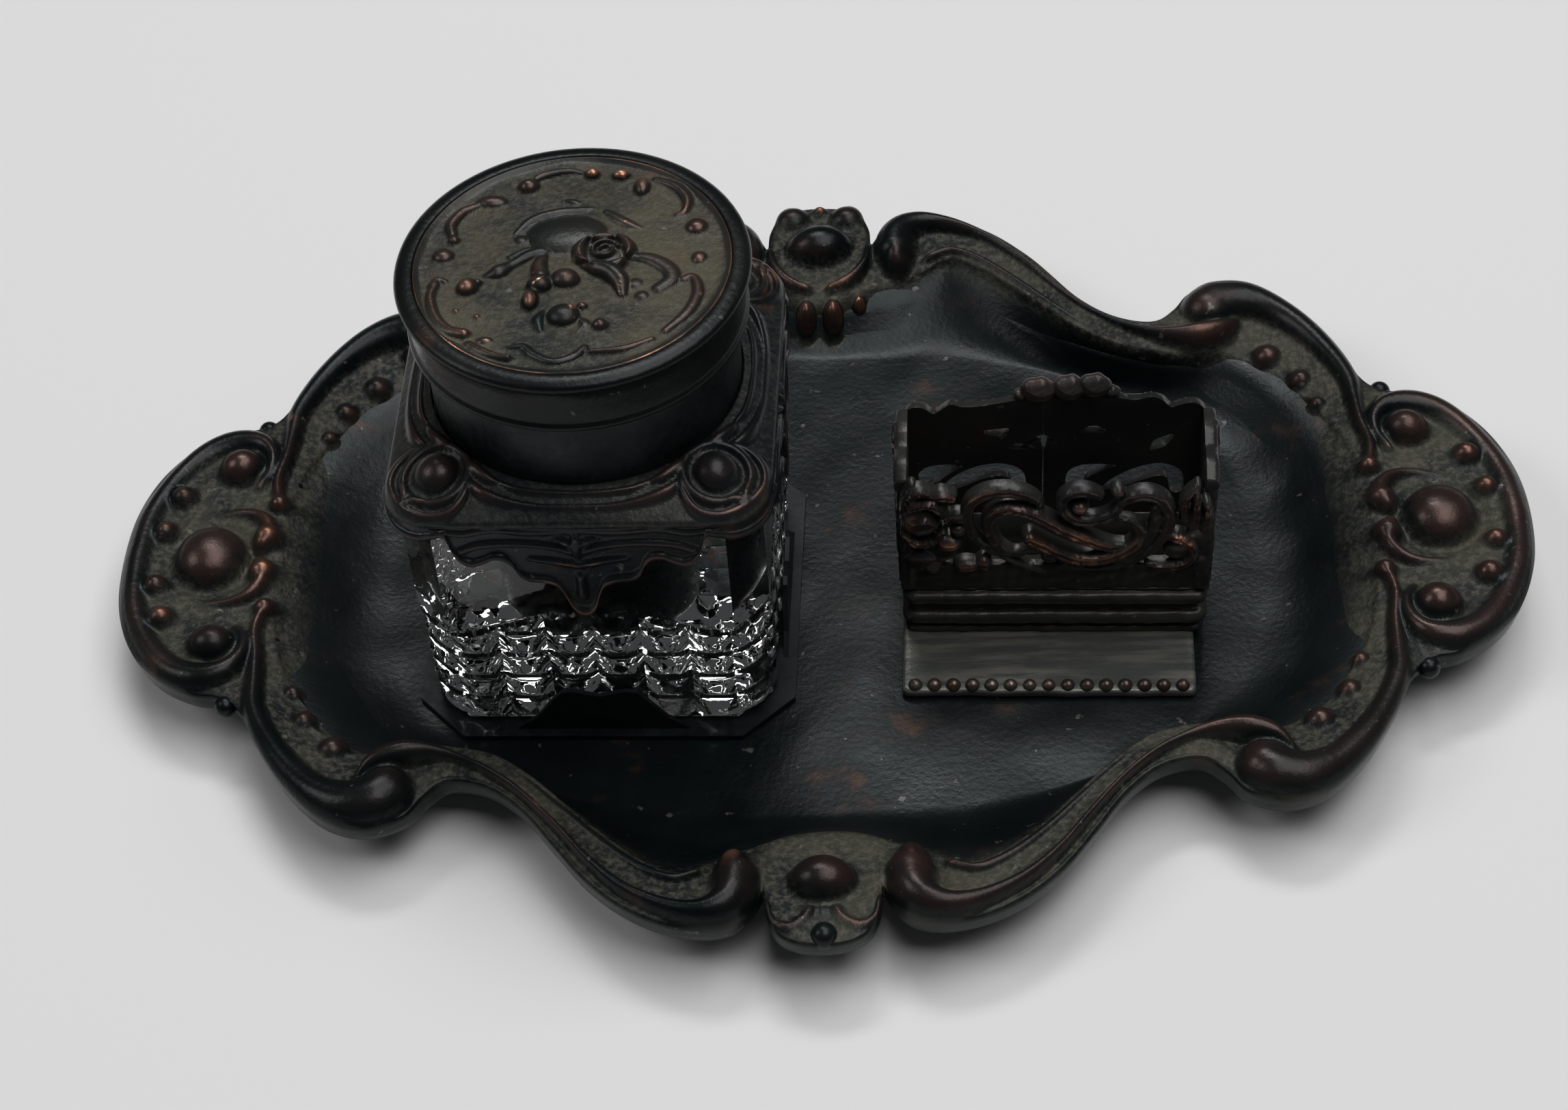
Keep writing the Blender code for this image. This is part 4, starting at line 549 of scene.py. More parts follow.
# The well's seat. A thin plate of blackened sheet riveted to the dish, with one tab turned up on
# each side of the glass so that it can't slide, and the copper rivets that hold it and the plate
# of the box. The solids have these shapes already and only take their finish here.
WELL_AT, WELL_TURN = (-37.926, -4.742), math.radians(-2.24)
BOX_AT, BOX_TURN = (42.183, -7.570), math.radians(-2.5)


def plain_metal(name, colour, cloudy, roughness, metallic):
    """Sheet or wrought metal without relief, clouded by age."""
    made = bpy.data.materials.new(name)
    made.use_nodes = True
    nodes, links = made.node_tree.nodes, made.node_tree.links
    shader = nodes["Principled BSDF"]
    place = nodes.new("ShaderNodeTexCoord").outputs["Object"]
    patches = cloud(nodes, links, place, 90, 5, 0.6)
    scratches = cloud(nodes, links, place, 700, 2, 0.5)
    base = mixed(nodes, links, "clouds", stepped(nodes, links, patches, 0.35, 0.65), colour, cloudy)
    links.new(base, shader.inputs["Base Color"])
    shader.inputs["Metallic"].default_value = metallic
    shader.inputs["Specular IOR Level"].default_value = 0.25
    wander = worked(nodes, links, "MULTIPLY", stepped(nodes, links, scratches, 0.3, 0.7), 0.12)
    links.new(worked(nodes, links, "ADD", wander, roughness), shader.inputs["Roughness"])
    bump = nodes.new("ShaderNodeBump")
    bump.inputs["Strength"].default_value = 0.15
    bump.inputs["Distance"].default_value = 0.0002
    links.new(scratches, bump.inputs["Height"])
    links.new(bump.outputs["Normal"], shader.inputs["Normal"])
    return made


def finish_nodes(material, *names):
    """Gives CAD nodes whose shape is right their real finish."""
    for name in names:
        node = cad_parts[name]
        node.data.materials.clear()
        node.data.materials.append(material)


black_sheet = plain_metal("blackened sheet", (0.003, 0.005, 0.006, 1), (0.010, 0.014, 0.015, 1), 0.34, 0.3)
rivet_copper = plain_metal("dull copper", (0.10, 0.045, 0.025, 1), (0.20, 0.09, 0.05, 1), 0.36, 0.9)
finish_nodes(black_sheet, "well_seat")
finish_nodes(rivet_copper, "seat_rivet", "box_rivet_left", "box_rivet_right", "hinge_pin")

# The glass well. A heavy square block of pressed flint glass with cut-off corners: a plain band at
# the shoulder, rows of square points pressed below it under an arched border, and a round bore for
# the ink. It was pressed in one go and stands loose in the seat.
GLASS_FOOT, GLASS_SHOULDER, GLASS_MOUTH = 5.6, 57.3, 66.0
GLASS_HALF, GLASS_CHAMFER = 30.7, 5.9
POINT_COLUMNS, POINT_HEIGHT, POINT_DEPTH = 6, 5.7, 1.3
POINTED_TOP = 34.5
STEPS_PER_POINT = 12


def zigzag(value):
    """0 at whole numbers and 1 half way between them."""
    return 1 - np.abs(2 * (value - np.floor(value)) - 1)


def make_glass():
    flat = 2 * (GLASS_HALF - GLASS_CHAMFER)
    across = POINT_COLUMNS * STEPS_PER_POINT
    outline, normals, columns = [], [], []
    for turn in range(4):
        angle = turn * math.pi / 2
        c, s = round(math.cos(angle)), round(math.sin(angle))
        for k in range(across):
            u = k / across
            outline.append((c * GLASS_HALF - s * (u - 0.5) * flat, s * GLASS_HALF + c * (u - 0.5) * flat))
            normals.append((c, s))
            columns.append(u * POINT_COLUMNS)
        steps = STEPS_PER_POINT
        for k in range(steps):
            u = k / steps
            a, b = GLASS_HALF, GLASS_HALF - GLASS_CHAMFER
            px, py = a + (b - a) * u, b + (a - b) * u
            outline.append((c * px - s * py, s * px + c * py))
            normals.append((math.cos(angle + math.pi / 4), math.sin(angle + math.pi / 4)))
            columns.append(u)
    outline, normals = np.array(outline), np.array(normals)
    columns = np.array(columns)

    rows = int((POINTED_TOP - GLASS_FOOT - 1.0) / POINT_HEIGHT * STEPS_PER_POINT)
    heights = np.concatenate([
        GLASS_FOOT + 1.0 + np.arange(rows + 1) * POINT_HEIGHT / STEPS_PER_POINT,
        np.linspace(POINTED_TOP + 1.2, GLASS_SHOULDER - 1.0, 12)])
    level = (heights - GLASS_FOOT - 1.0) / POINT_HEIGHT
    column_wave, row_wave = zigzag(columns)[None], zigzag(level)[:, None]
    phase = (level - np.floor(level))[:, None]
    trees = np.clip(1 - column_wave / (0.80 - 0.55 * phase), 0, 1) ** 0.8
    lines = np.clip(1 - row_wave / 0.20, 0, 1)
    points = 1 - np.maximum(trees, 0.35 * lines)
    arch = POINTED_TOP - 3.2 - 3.0 * np.cos(columns[None] / POINT_COLUMNS * math.tau)
    below = heights[:, None] < arch
    cut = np.where(below, POINT_DEPTH * (1 - points), 0.0)
    border = np.clip(1 - np.abs(heights[:, None] - arch - 0.8) / 1.0, 0, 1) * 0.9
    cut = np.where(below, cut, border)
    x = outline[None, :, 0] - cut * normals[None, :, 0]
    y = outline[None, :, 1] - cut * normals[None, :, 1]
    z = np.repeat(heights[:, None], len(outline), 1)

    def ring(scale_or_radius, height, round_form=False):
        if round_form:
            place = outline / np.hypot(*outline.T)[:, None] * scale_or_radius
        else:
            place = outline * (1 - scale_or_radius / GLASS_HALF)
        return place[:, 0], place[:, 1], np.full(len(outline), height)

    outside = list(zip(x, y, z))
    foot = [ring(9.0, GLASS_FOOT + 1.6, True), ring(10.0, GLASS_FOOT + 0.3, True), ring(6.0, GLASS_FOOT),
            ring(1.6, GLASS_FOOT), ring(0.9, GLASS_FOOT + 0.4)]
    shoulder = [ring(0.3, GLASS_SHOULDER - 0.4), ring(1.0, GLASS_SHOULDER), ring(22.5, GLASS_SHOULDER, True),
                ring(21.5, GLASS_SHOULDER + 0.8, True), ring(21.5, GLASS_MOUTH - 0.6, True),
                ring(20.9, GLASS_MOUTH, True), ring(18.2, GLASS_MOUTH, True),
                ring(17.5, GLASS_MOUTH - 0.7, True)]
    bore = [ring(17.5, h, True) for h in (58, 50, 42, 34, 27)]
    for k in range(1, 7):
        a = k * math.pi / 12
        bore.append(ring(11.5 + 6 * math.cos(a), 25.1 - 6 * math.sin(a), True))
    bore.append(ring(6.0, 18.7, True))
    bore.append(ring(0.6, 18.5, True))
    everything = [ring(0.6, GLASS_FOOT + 1.7, True)] + foot + outside + shoulder + bore
    gx, gy, gz = (np.array([r[i] for r in everything]) for i in range(3))
    mesh = grid_mesh("pressed_glass_well", gx, gy, gz, cap_ends=True)
    mesh.set_sharp_from_angle(angle=math.radians(28))
    return mesh


def stand_at(mesh, at, turn):
    """Moves a mesh that was made round its own axis to its place on the tray."""
    mesh.transform(Matrix.Translation((at[0] * MM, at[1] * MM, 0)) @ Matrix.Rotation(turn, 4, "Z"))
    return mesh


pressed_glass = bpy.data.materials.new("pressed glass")
pressed_glass.use_nodes = True
glass_shader = pressed_glass.node_tree.nodes["Principled BSDF"]
glass_shader.inputs["Base Color"].default_value = (0.97, 0.99, 0.98, 1)
glass_shader.inputs["Transmission Weight"].default_value = 1.0
glass_shader.inputs["IOR"].default_value = 1.52
glass_shader.inputs["Roughness"].default_value = 0.0
glass_bump = pressed_glass.node_tree.nodes.new("ShaderNodeBump")
glass_bump.inputs["Strength"].default_value = 0.12
glass_bump.inputs["Distance"].default_value = 0.0006
glass_place = pressed_glass.node_tree.nodes.new("ShaderNodeTexCoord").outputs["Object"]
pressed_glass.node_tree.links.new(
    cloud(pressed_glass.node_tree.nodes, pressed_glass.node_tree.links, glass_place, 190, 2, 0.5),
    glass_bump.inputs["Height"])
pressed_glass.node_tree.links.new(glass_bump.outputs["Normal"], glass_shader.inputs["Normal"])
glass_mesh = stand_at(make_glass(), WELL_AT, WELL_TURN)
piece("pressed_glass_well", glass_mesh, pressed_glass, "well", "clear_glass", "glass_well")
# The bore wall gets a near-black film: painted shade of the bore under the closed lid, not a stain of the
# glass.
bore_shade_film = plain_metal("painted bore shade", (0.002, 0.003, 0.005, 1), (0.006, 0.007, 0.010, 1), 0.25, 0.0)
glass_mesh.materials.append(bore_shade_film)
inside = Matrix.Rotation(-WELL_TURN, 4, "Z") @ Matrix.Translation((-WELL_AT[0] * MM, -WELL_AT[1] * MM, 0))
for face in glass_mesh.polygons:
    spot = inside @ face.center / MM
    if math.hypot(spot.x, spot.y) < 18 and 18 < spot.z < 46:
        face.material_index = 1

# The neck ring and the cement. A plain spun ring of dark sheet that the lid shuts over, bedded on
# the glass neck with plaster, which age has turned a dirty cream.


def turned(name, profile, steps=160):
    """A ring or shell turned round the well's axis from a closed (radius, height) profile."""
    angle = np.linspace(0, math.tau, steps, endpoint=False)[None]
    r, h = np.array(profile + profile[:1]).T
    return grid_mesh(name, r[:, None] * np.cos(angle), r[:, None] * np.sin(angle),
                     h[:, None] + 0 * angle)


def on_well(mesh):
    """Stands a piece of the well on the well's own axis."""
    bm = bmesh.new()
    bm.from_mesh(mesh)
    bmesh.ops.remove_doubles(bm, verts=bm.verts, dist=1e-7)
    bmesh.ops.recalc_face_normals(bm, faces=bm.faces)
    bm.to_mesh(mesh)
    bm.free()
    return stand_at(mesh, WELL_AT, WELL_TURN)


ring_mesh = turned("neck_band", [
    (26.6, 57.7), (26.6, 60), (26.6, 63), (26.5, 63.4), (26.6, 63.8), (26.6, 70), (26.6, 78.8), (26.4, 79.4),
    (26.0, 79.6), (25.6, 79.4), (25.4, 78.8), (25.4, 57.7)])
piece("neck_band", on_well(ring_mesh), black_sheet, "well", "dark_sheet", "neck_ring")
finish_nodes(plain_metal("dirty plaster", (0.42, 0.38, 0.30, 1), (0.55, 0.51, 0.43, 1), 0.8, 0.0),
             "cement_bed")

# The collar. A cast cap over the glass shoulder: a boss with scrolls at each corner, flowing ridges
# between them, and a lobed apron that hangs down each side of the glass, its edge rubbed to copper.
COLLAR_HALF, COLLAR_CORNER = 32.8, 9.5
COLLAR_HOLE, COLLAR_CROWN, COLLAR_EDGE = 26.9, 62.6, 58.9
APRON_DROPS = [
    (0.0, 20.4), (1.1, 19.9), (2.0, 18.2), (2.9, 15.2), (4.0, 12.9), (6.0, 11.9), (8.6, 11.5), (10.2, 10.2),
    (11.1, 8.0), (12.4, 6.5), (14.2, 6.3), (16.0, 7.2), (17.8, 7.9), (19.6, 7.0), (20.8, 4.8), (21.4, 2.0),
    (22.2, 0.6), (23.6, 0.9), (26.0, 1.8), (29.0, 2.2), (33.0, 2.2)]
COLLAR_RIBBONS = [
    [(0, 30.6, 0.6, 0.3), (6, 30.4, 0.6, 0.4), (11, 29.6, 0.8, 0.8), (15.4, 28.0, 1.1, 1.3),
     (18.0, 25.4, 0.7, 0.7)],
    [(12.4, 26.2, 0.4, 0.3), (14.6, 25.4, 1.0, 1.2), (17.0, 23.4, 1.3, 1.5), (19.0, 20.8, 0.7, 0.6)],
    [(0, 28.6, 0.5, 0.4), (5, 28.4, 0.6, 0.6), (9.6, 27.6, 0.6, 0.7), (13, 25.9, 0.4, 0.4)],
    [(17.6, 24.6, 0.6, 0.9), (18.3, 28.2, 0.8, 1.2), (20.6, 31.0, 0.9, 1.2), (24.4, 31.6, 0.9, 1.1),
     (28.4, 29.6, 0.8, 1.2),
     (30.6, 27.0, 0.7, 1.0)],
    [(23.4, 29.8, 0.5, 0.8), (25.6, 29.0, 0.8, 1.3), (27.6, 28.6, 0.8, 1.5), (28.6, 28.6, 0.7, 1.3)]]
SKIRT_RIBBONS = [
    [(0, 1.2, 0.5, 0.2), (7, 1.5, 0.6, 0.3), (14, 0.7, 0.7, 0.5), (19, 1.6, 0.7, 0.6), (24, 0.6, 0.5, 0.4)],
    [(0, 6.4, 0.8, 0.7), (4, 4.6, 0.8, 0.8), (10, 3.8, 0.8, 0.8), (16, 4.2, 0.9, 0.8), (19.4, 5.6, 0.8, 0.7)],
    [(0, 9.2, 0.7, 0.7), (4.4, 8.2, 0.8, 0.7), (8.0, 7.6, 0.6, 0.5)],
    [(0, 2.2, 0.5, 0.9), (0.3, 4.6, 0.7, 1.2), (0, 7.4, 0.5, 0.8)],
    [(0.3, 4.8, 0.4, 0.8), (2.2, 3.0, 0.6, 1.0), (3.8, 2.8, 0.3, 0.4)],
    [(0, 12.0, 0.8, 0.8), (0, 16.5, 1.0, 1.0)]]


def square_place(count):
    """Places round a square with round corners, with their outward directions."""
    straight = COLLAR_HALF - COLLAR_CORNER
    arc = COLLAR_CORNER * math.pi / 2
    side = 2 * straight + arc
    made = []
    for k in range(count):
        run = 4 * side * k / count
        turn, run = divmod(run, side)
        if run < 2 * straight:
            px, py, angle = COLLAR_HALF, run - straight, 0.0
        else:
            angle = (run - 2 * straight) / COLLAR_CORNER
            px = straight + COLLAR_CORNER * math.cos(angle)
            py = straight + COLLAR_CORNER * math.sin(angle)
        c, s = math.cos(turn * math.pi / 2), math.sin(turn * math.pi / 2)
        nx, ny = math.cos(angle), math.sin(angle)
        made.append((c * px - s * py, s * px + c * py, c * nx - s * ny, s * nx + c * ny))
    return np.array(made)


def make_collar():
    rim = square_place(880)
    count = len(rim)
    hole = rim[:, :2] / np.hypot(*rim[:, :2].T)[:, None] * COLLAR_HOLE
    share = np.linspace(0, 1, 34)[:, None]
    tx = hole[None, :, 0] + share * (rim[None, :, 0] - hole[None, :, 0])
    ty = hole[None, :, 1] + share * (rim[None, :, 1] - hole[None, :, 1])
    tz = COLLAR_CROWN + (COLLAR_EDGE - COLLAR_CROWN) * share ** 1.5 + 0 * tx
    tz -= 0.6 * np.clip((share - 0.94) / 0.06, 0, 1) ** 2
    s, t = np.minimum(np.abs(tx), np.abs(ty)), np.maximum(np.abs(tx), np.abs(ty))
    lift = np.zeros(tx.shape)
    for points in COLLAR_RIBBONS:
        raise_ribbon(lift, s, t, points, -0.2)
    raise_dome(lift, s, t, (23.6, 23.6, 3.9, 3.9, -0.2, 3.1))
    ring = np.abs(np.hypot(s - 23.6, t - 23.6) - 5.7)
    lift = np.maximum(lift, np.where(ring < 0.9, 1.1 * np.sqrt(np.clip(1 - (ring / 0.9) ** 2, 0, 1)), 0))
    lift *= np.clip((1 - share) / 0.05, 0, 1) ** 0.5 * np.clip(share / 0.05, 0, 1) ** 0.5
    tz = tz + lift

    along_side = np.minimum(np.abs(rim[:, 0]), np.abs(rim[:, 1]))
    drops = smooth_path(APRON_DROPS, 8)
    drop = 1.6 + np.interp(along_side, drops[:, 0], drops[:, 1])
    down = (np.linspace(0, 1, 44)[1:, None]) * drop[None]
    fold = np.zeros(down.shape)
    sides = np.repeat(along_side[None], len(down), 0)
    for points in SKIRT_RIBBONS:
        raise_ribbon(fold, sides, down, points, 0.0)
    brim = drop[None] - down
    fold = np.maximum(fold, 0.9 * np.sqrt(np.clip(1 - ((brim - 0.9) / 0.9) ** 2, 0, 1)))
    fold -= 0.5 * np.clip(1 - brim / 0.3, 0, 1)
    ear = np.clip((sides - 23.5) / 1.5, 0, 1)
    fold *= 1 - ear * np.clip(1 - np.abs(down - 2.0) / 2.5, 0, 1) * 0.3
    sx = rim[None, :, 0] + (fold - 0.35) * rim[None, :, 2]
    sy = rim[None, :, 1] + (fold - 0.35) * rim[None, :, 3]
    sz = COLLAR_EDGE - 0.6 - down

    inner = []
    for inset, up in ((1.2, 0.3), (1.6, 0.8)):
        inner.append((rim[:, :2] - inset * rim[:, 2:], COLLAR_EDGE - 0.6 - drop + up))
    inner.append((rim[:, :2] - 1.6 * rim[:, 2:], np.full(count, 57.65)))
    inner.append((hole, np.full(count, 57.65)))
    ix = np.array([p[:, 0] for p, _ in inner])
    iy = np.array([p[:, 1] for p, _ in inner])
    iz = np.array([h for _, h in inner])
    x, y, z = (np.vstack([top, skirt, inner, top[:1]])
               for top, skirt, inner in ((tx, sx, ix), (ty, sy, iy), (tz, sz, iz)))
    mesh = grid_mesh("collar_casting", x, y, z)
    relief = np.zeros(z.shape)
    relief[:len(tz)] = lift - blurred(lift, 30)
    relief[len(tz):len(tz) + len(sz)] = fold - blurred(fold, 30) + 0.8 * np.clip(1 - brim / 1.6, 0, 1)
    note(mesh, "relief", relief * 1.3)
    sand = np.zeros(z.shape)
    sand[:len(tz)] = np.clip(1 - lift / 0.3, 0, 1) * 0.35
    note(mesh, "sand", sand)
    return mesh


collar_patina = patinated(
    "collar patina", (0.007, 0.010, 0.012, 1), (0.026, 0.026, 0.026, 1), (0.55, 0.27, 0.16, 1),
    (0.06, 0.06, 0.04, 1), 1.0, 0.3, 0.9)
piece("collar_casting", on_well(make_collar()), collar_patina, "well", "bronze", "collar")
finish_nodes(collar_patina, "collar_hinge_strap")

# The lid. A shell of thin metal, spun with a rolled rim, a plain wall and a beaded foot, that shuts
# over the neck ring; a cast panel with low sprays of roses and a scrolled border is let into its top
# and shows a sandy ground, copper on the high spots.
LID_PROFILE = [
    (27.3, 76.7), (28.6, 76.7), (28.85, 77.1), (28.75, 77.7), (28.35, 78.0), (28.3, 78.4), (28.35, 80.5),
    (28.4, 83.0),
    (28.5, 84.6), (28.8, 85.4), (29.3, 85.8), (29.7, 86.3), (29.8, 86.8), (29.6, 87.3), (29.1, 87.65),
    (28.4, 87.9),
    (27.6, 88.0), (26.9, 88.0), (26.65, 87.9), (26.6, 87.3), (26.6, 85.3), (23.8, 85.3), (23.8, 84.1),
    (27.6, 84.1)]
PANEL_RADIUS, PANEL_UNDER, PANEL_FACE = 26.5, 85.65, 87.2
PANEL_RINGS, PANEL_STEPS = 120, 560
SPRAY_STEMS = [
    [(2.1, -1.1, 0.84, 1.35), (4.2, -1.7, 1.68, 2.56), (6.6, -2.8, 1.96, 2.97),
     (8.3, -4.9, 1.82, 2.56), (9, -7.9, 0.98, 1.22)],
    [(-3.4, 2.6, 0.98, 0.81), (-5, 2.4, 1.26, 1.62), (-7.4, 1.5, 1.26, 1.62),
     (-9.9, -0.4, 1.12, 1.35), (-12.2, -2.3, 1.68, 1.89), (-14, -3.1, 0.84, 0.81)],
    [(-4.6, 3.2, 0.7, 1.08), (-7.6, 2.9, 0.84, 1.22), (-10.6, 1.2, 0.7, 0.81)],
    [(-5, 1.2, 1.26, 1.22), (-5.3, -1.2, 1.54, 1.76), (-4.9, -3.6, 1.68, 2.16)],
    [(9.8, 1.2, 1.12, 1.08), (13, 0.6, 1.54, 1.35), (16, -1.6, 1.68, 1.35), (16.8, -4.2, 1.54, 1.22),
     (14.8, -6.6, 1.4, 1.08)],
    [(-10.2, 7.2, 0.7, 0.68), (-7.6, 10.6, 1.12, 1.22), (-3.2, 12.3, 1.26, 1.49), (2.2, 13.4, 0.7, 0.68)],
    [(4.8, 12.4, 0.98, 0.81), (8, 9.9, 1.26, 1.08), (10.8, 8.4, 0.7, 0.54)],
    [(-3, 15.6, 0.56, 0.41), (-1.2, 15.2, 0.84, 0.81), (0.6, 14.6, 0.56, 0.41)],
    [(-3.8, -16.2, 0.7, 0.68), (-4.4, -13.8, 1.12, 1.08), (-3.6, -11.6, 0.7, 0.54)],
    [(2.2, -13.6, 0.7, 0.81), (3.4, -15, 1.26, 0.94), (2.4, -16.4, 0.7, 0.54)]]
SPRAY_BUDS = [
    (-4.9, -5.8, 2.3, 2.04, 0, 2.99), (-0.8, -4.4, 2.64, 2.4, 0, 2.88),
    (-16.8, -6, 1.95, 2.04, 0, 2.64), (-15.2, -5, 0.92, 0.96, 0, 1.72),
    (-6.1, -9.4, 1.49, 2.52, 0, 2.88), (-0.3, -13, 2.88, 2.64, 0, 2.64),
    (0.9, -12.4, 1.38, 1.32, 0, 2.99), (5.9, -15.3, 1.49, 1.44, 0, 2.07),
    (2.6, -10.8, 1.03, 0.96, 0, 1.49), (10.9, -5.4, 1.72, 1.56, 0, 1.03),
    (12.2, -8.2, 1.38, 1.32, 0, 0.92), (-9, 5.6, 1.49, 1.44, 0, 1.03)]
SPRAY_ROSE = (5.3, 1.9, 4.3)
BORDER_SCROLLS = [
    [(-8.78, 19.89, 0.8, 1.12), (-7.02, 21.84, 0.96, 1.38), (-2.92, 23.01, 0.8, 1.25),
     (0.39, 22.62, 0.48, 0.62)],
    [(12.48, 20.67, 0.8, 1), (15.99, 18.72, 1.12, 1.38), (18.14, 15.5, 1.12, 1.38),
     (17.94, 12.48, 0.8, 1.12), (16.57, 11.6, 0.64, 0.75)],
    [(-17.16, 14.62, 0.8, 1), (-19.7, 12.87, 1.12, 1.38), (-21.25, 9.75, 1.12, 1.38),
     (-20.77, 7.12, 0.96, 1.12)],
    [(-22.33, -5.17, 0.96, 1.25), (-22.72, -8.38, 0.96, 1.38), (-21.35, -12.97, 1.12, 1.38),
     (-18.82, -15.99, 1.12, 1.5), (-16.19, -17.06, 1.28, 1.75)],
    [(-20.67, -4.29, 0.64, 0.75), (-22.04, -4, 0.8, 1.12), (-22.81, -5.46, 0.8, 1.25)],
    [(-15.21, -19.11, 0.8, 1), (-13.06, -20.86, 0.96, 1.25), (-10.33, -22.33, 0.8, 1.38),
     (-8.38, -22.81, 0.8, 1.5)],
    [(-8.38, -20.28, 0.64, 0.88), (-6.24, -20.09, 0.96, 1.12), (-4.48, -21.84, 0.96, 1.12),
     (-1.17, -23.59, 0.96, 1.12), (2.15, -22.43, 0.96, 1.12), (3.8, -20.38, 0.8, 1)],
    [(4.68, -21.25, 0.64, 1), (10.14, -20.67, 0.8, 1.12), (14.62, -18.43, 0.64, 0.88)],
    [(16.57, -16.57, 0.8, 0.88), (19.89, -12.29, 1.12, 1.12), (21.35, -7.41, 1.12, 1.12),
     (20.38, -3.8, 0.96, 1), (18.72, -4.29, 0.8, 0.88)]]
BORDER_BEADS = [
    (1.56, 22.04, 1.43, 1.21, 0, 2.09), (6.53, 21.64, 1.76, 1.32, 0, 2.09),
    (-9.07, 19.11, 1.98, 1.87, 0, 2.31), (10.33, 18.72, 1.54, 2.31, 0, 1.98),
    (20.18, 8.58, 1.98, 1.98, 0, 1.76), (-15.02, 15.41, 2.86, 1.65, 0, 1.54),
    (-20.38, 5.75, 1.1, 1.1, 0, 1.54), (-21.74, 1.85, 1.98, 1.87, 0, 1.76),
    (21.06, 0.97, 1.43, 1.65, 0, 1.21), (-12.67, -18.52, 1.54, 0.99, 0, 0.99),
    (-14.53, -12.87, 0.66, 0.66, 0, 0.99), (-18.14, -11.31, 0.55, 0.55, 0, 0.77)]

lid_bronze = patinated(
    "lid patina", (0.010, 0.014, 0.014, 1), (0.040, 0.038, 0.032, 1), (0.52, 0.27, 0.17, 1),
    (0.095, 0.084, 0.052, 1), 1.0, 0.75, 0.8)


def raise_rose(z, x, y, rose):
    """An open rose: outer petals curled back, a whorl of inner ones and a bud."""
    cx, cy, radius = rose
    raise_dome(z, x, y, (cx, cy, radius, 0.92 * radius, -0.2, 1.5))
    for start, end, reach in ((2.3, 4.1, 0.98), (4.3, 5.7, 1.04), (-0.4, 1.1, 0.96), (1.2, 2.2, 0.82)):
        petal = [(cx + reach * radius * math.cos(a), cy + 0.9 * reach * radius * math.sin(a),
                  1.1 * math.sin(math.pi * k / 6) + 0.3, 2.7)
                 for k, a in enumerate(np.linspace(start, end, 7))]
        raise_ribbon(z, x, y, petal, 0.2)
    whorl = [(cx + r * radius * math.cos(a), cy + 0.9 * r * radius * math.sin(a), 0.45, 2.5)
             for a, r in zip(np.linspace(0.4, 9.0, 22), np.linspace(0.58, 0.18, 22))]
    raise_ribbon(z, x, y, whorl, 0.6)


def make_panel():
    angle = np.linspace(0, math.tau, PANEL_STEPS, endpoint=False)[None]
    r = PANEL_RADIUS * (np.linspace(1, 0.004, PANEL_RINGS)[:, None]) ** 0.8
    x, y = r * np.cos(angle), r * np.sin(angle)
    z = 0.35 * (1 - (r / PANEL_RADIUS) ** 2) + 0.14 * waves(x, y, 9, 21)
    ground = z.copy()
    raise_dome(z, x, y, (-1.4, 6.8, 7.4, 5.4, -0.4, 2.0))
    for group in (SPRAY_STEMS, BORDER_SCROLLS):
        for points in group:
            raise_ribbon(z, x, y, points, -0.1)
    for dome in SPRAY_BUDS + BORDER_BEADS:
        raise_dome(z, x, y, dome)
    raise_rose(z, x, y, SPRAY_ROSE)
    z = ground + 0.8 * (z - ground)
    rim = np.clip((r - PANEL_RADIUS + 2.4) / 2.4, 0, 1) ** 2
    z = z * (1 - rim) + 0.75 * rim
    soft = blurred(z, 1)
    bare = np.clip(1 - (z - ground) / 0.25, 0, 1)
    mesh_x = np.vstack([x[:1] * 0.02, x[:1], x])
    mesh_y = np.vstack([y[:1] * 0.02, y[:1], y])
    mesh_z = np.vstack([0 * z[:1] + PANEL_UNDER, 0 * z[:1] + PANEL_UNDER, soft + PANEL_FACE])
    mesh = grid_mesh("lid_rose_panel", mesh_x, mesh_y, mesh_z, cap_ends=True)
    relief, sand = np.zeros(mesh_z.shape), np.zeros(mesh_z.shape)
    relief[2:] = (soft - blurred(soft, 50)) * 2.4
    sand[2:] = 0.75 * bare
    note(mesh, "relief", relief)
    note(mesh, "sand", sand)
    return mesh


shell_black = patinated(
    "lid shell patina", (0.0030, 0.0048, 0.0055, 1), (0.009, 0.010, 0.010, 1), (0.30, 0.14, 0.09, 1),
    (0.05, 0.05, 0.035, 1), 0.6, 0.3, 0.5)
piece("lid_shell_spun", on_well(turned("lid_shell_spun", LID_PROFILE, 260)), shell_black, "lid", "dark_sheet",
      "lid_shell")
piece("lid_rose_panel", on_well(make_panel()), lid_bronze, "lid", "bronze", "lid_panel")
finish_nodes(lid_bronze, "lid_hinge_strap")

# The foot plate and the plinth of the box. A brushed plate with a row of cast beads along its front
# edge, riveted to the dish, and on it a plinth frame whose two rolls were drawn and mitred.
PLATE_X, PLATE_Y, PLATE_Z = (-27.2, 25.0), (-24.8, 11.4), (4.5, 6.3)
PLATE_BEADS, PLATE_BEAD_RADIUS, PLATE_BEAD_RUN = 15, 1.3, 47.4
PLINTH_X, PLINTH_Y, PLINTH_FOOT = 25.8, 9.9, 6.6


def oblong(half_x, half_y, corner, count=240):
    """Places evenly round an oblong with round corners, in rows of x and y."""
    arc = [(k * math.pi / 12) for k in range(7)]
    loop = []
    for turn, sx, sy in ((0, 1, 1), (1, -1, 1), (2, -1, -1), (3, 1, -1)):
        for a in arc:
            a = a + turn * math.pi / 2
            loop.append((sx * (half_x - corner) + corner * math.cos(a),
                         sy * (half_y - corner) + corner * math.sin(a)))
    return even_rows(np.array(loop), count)


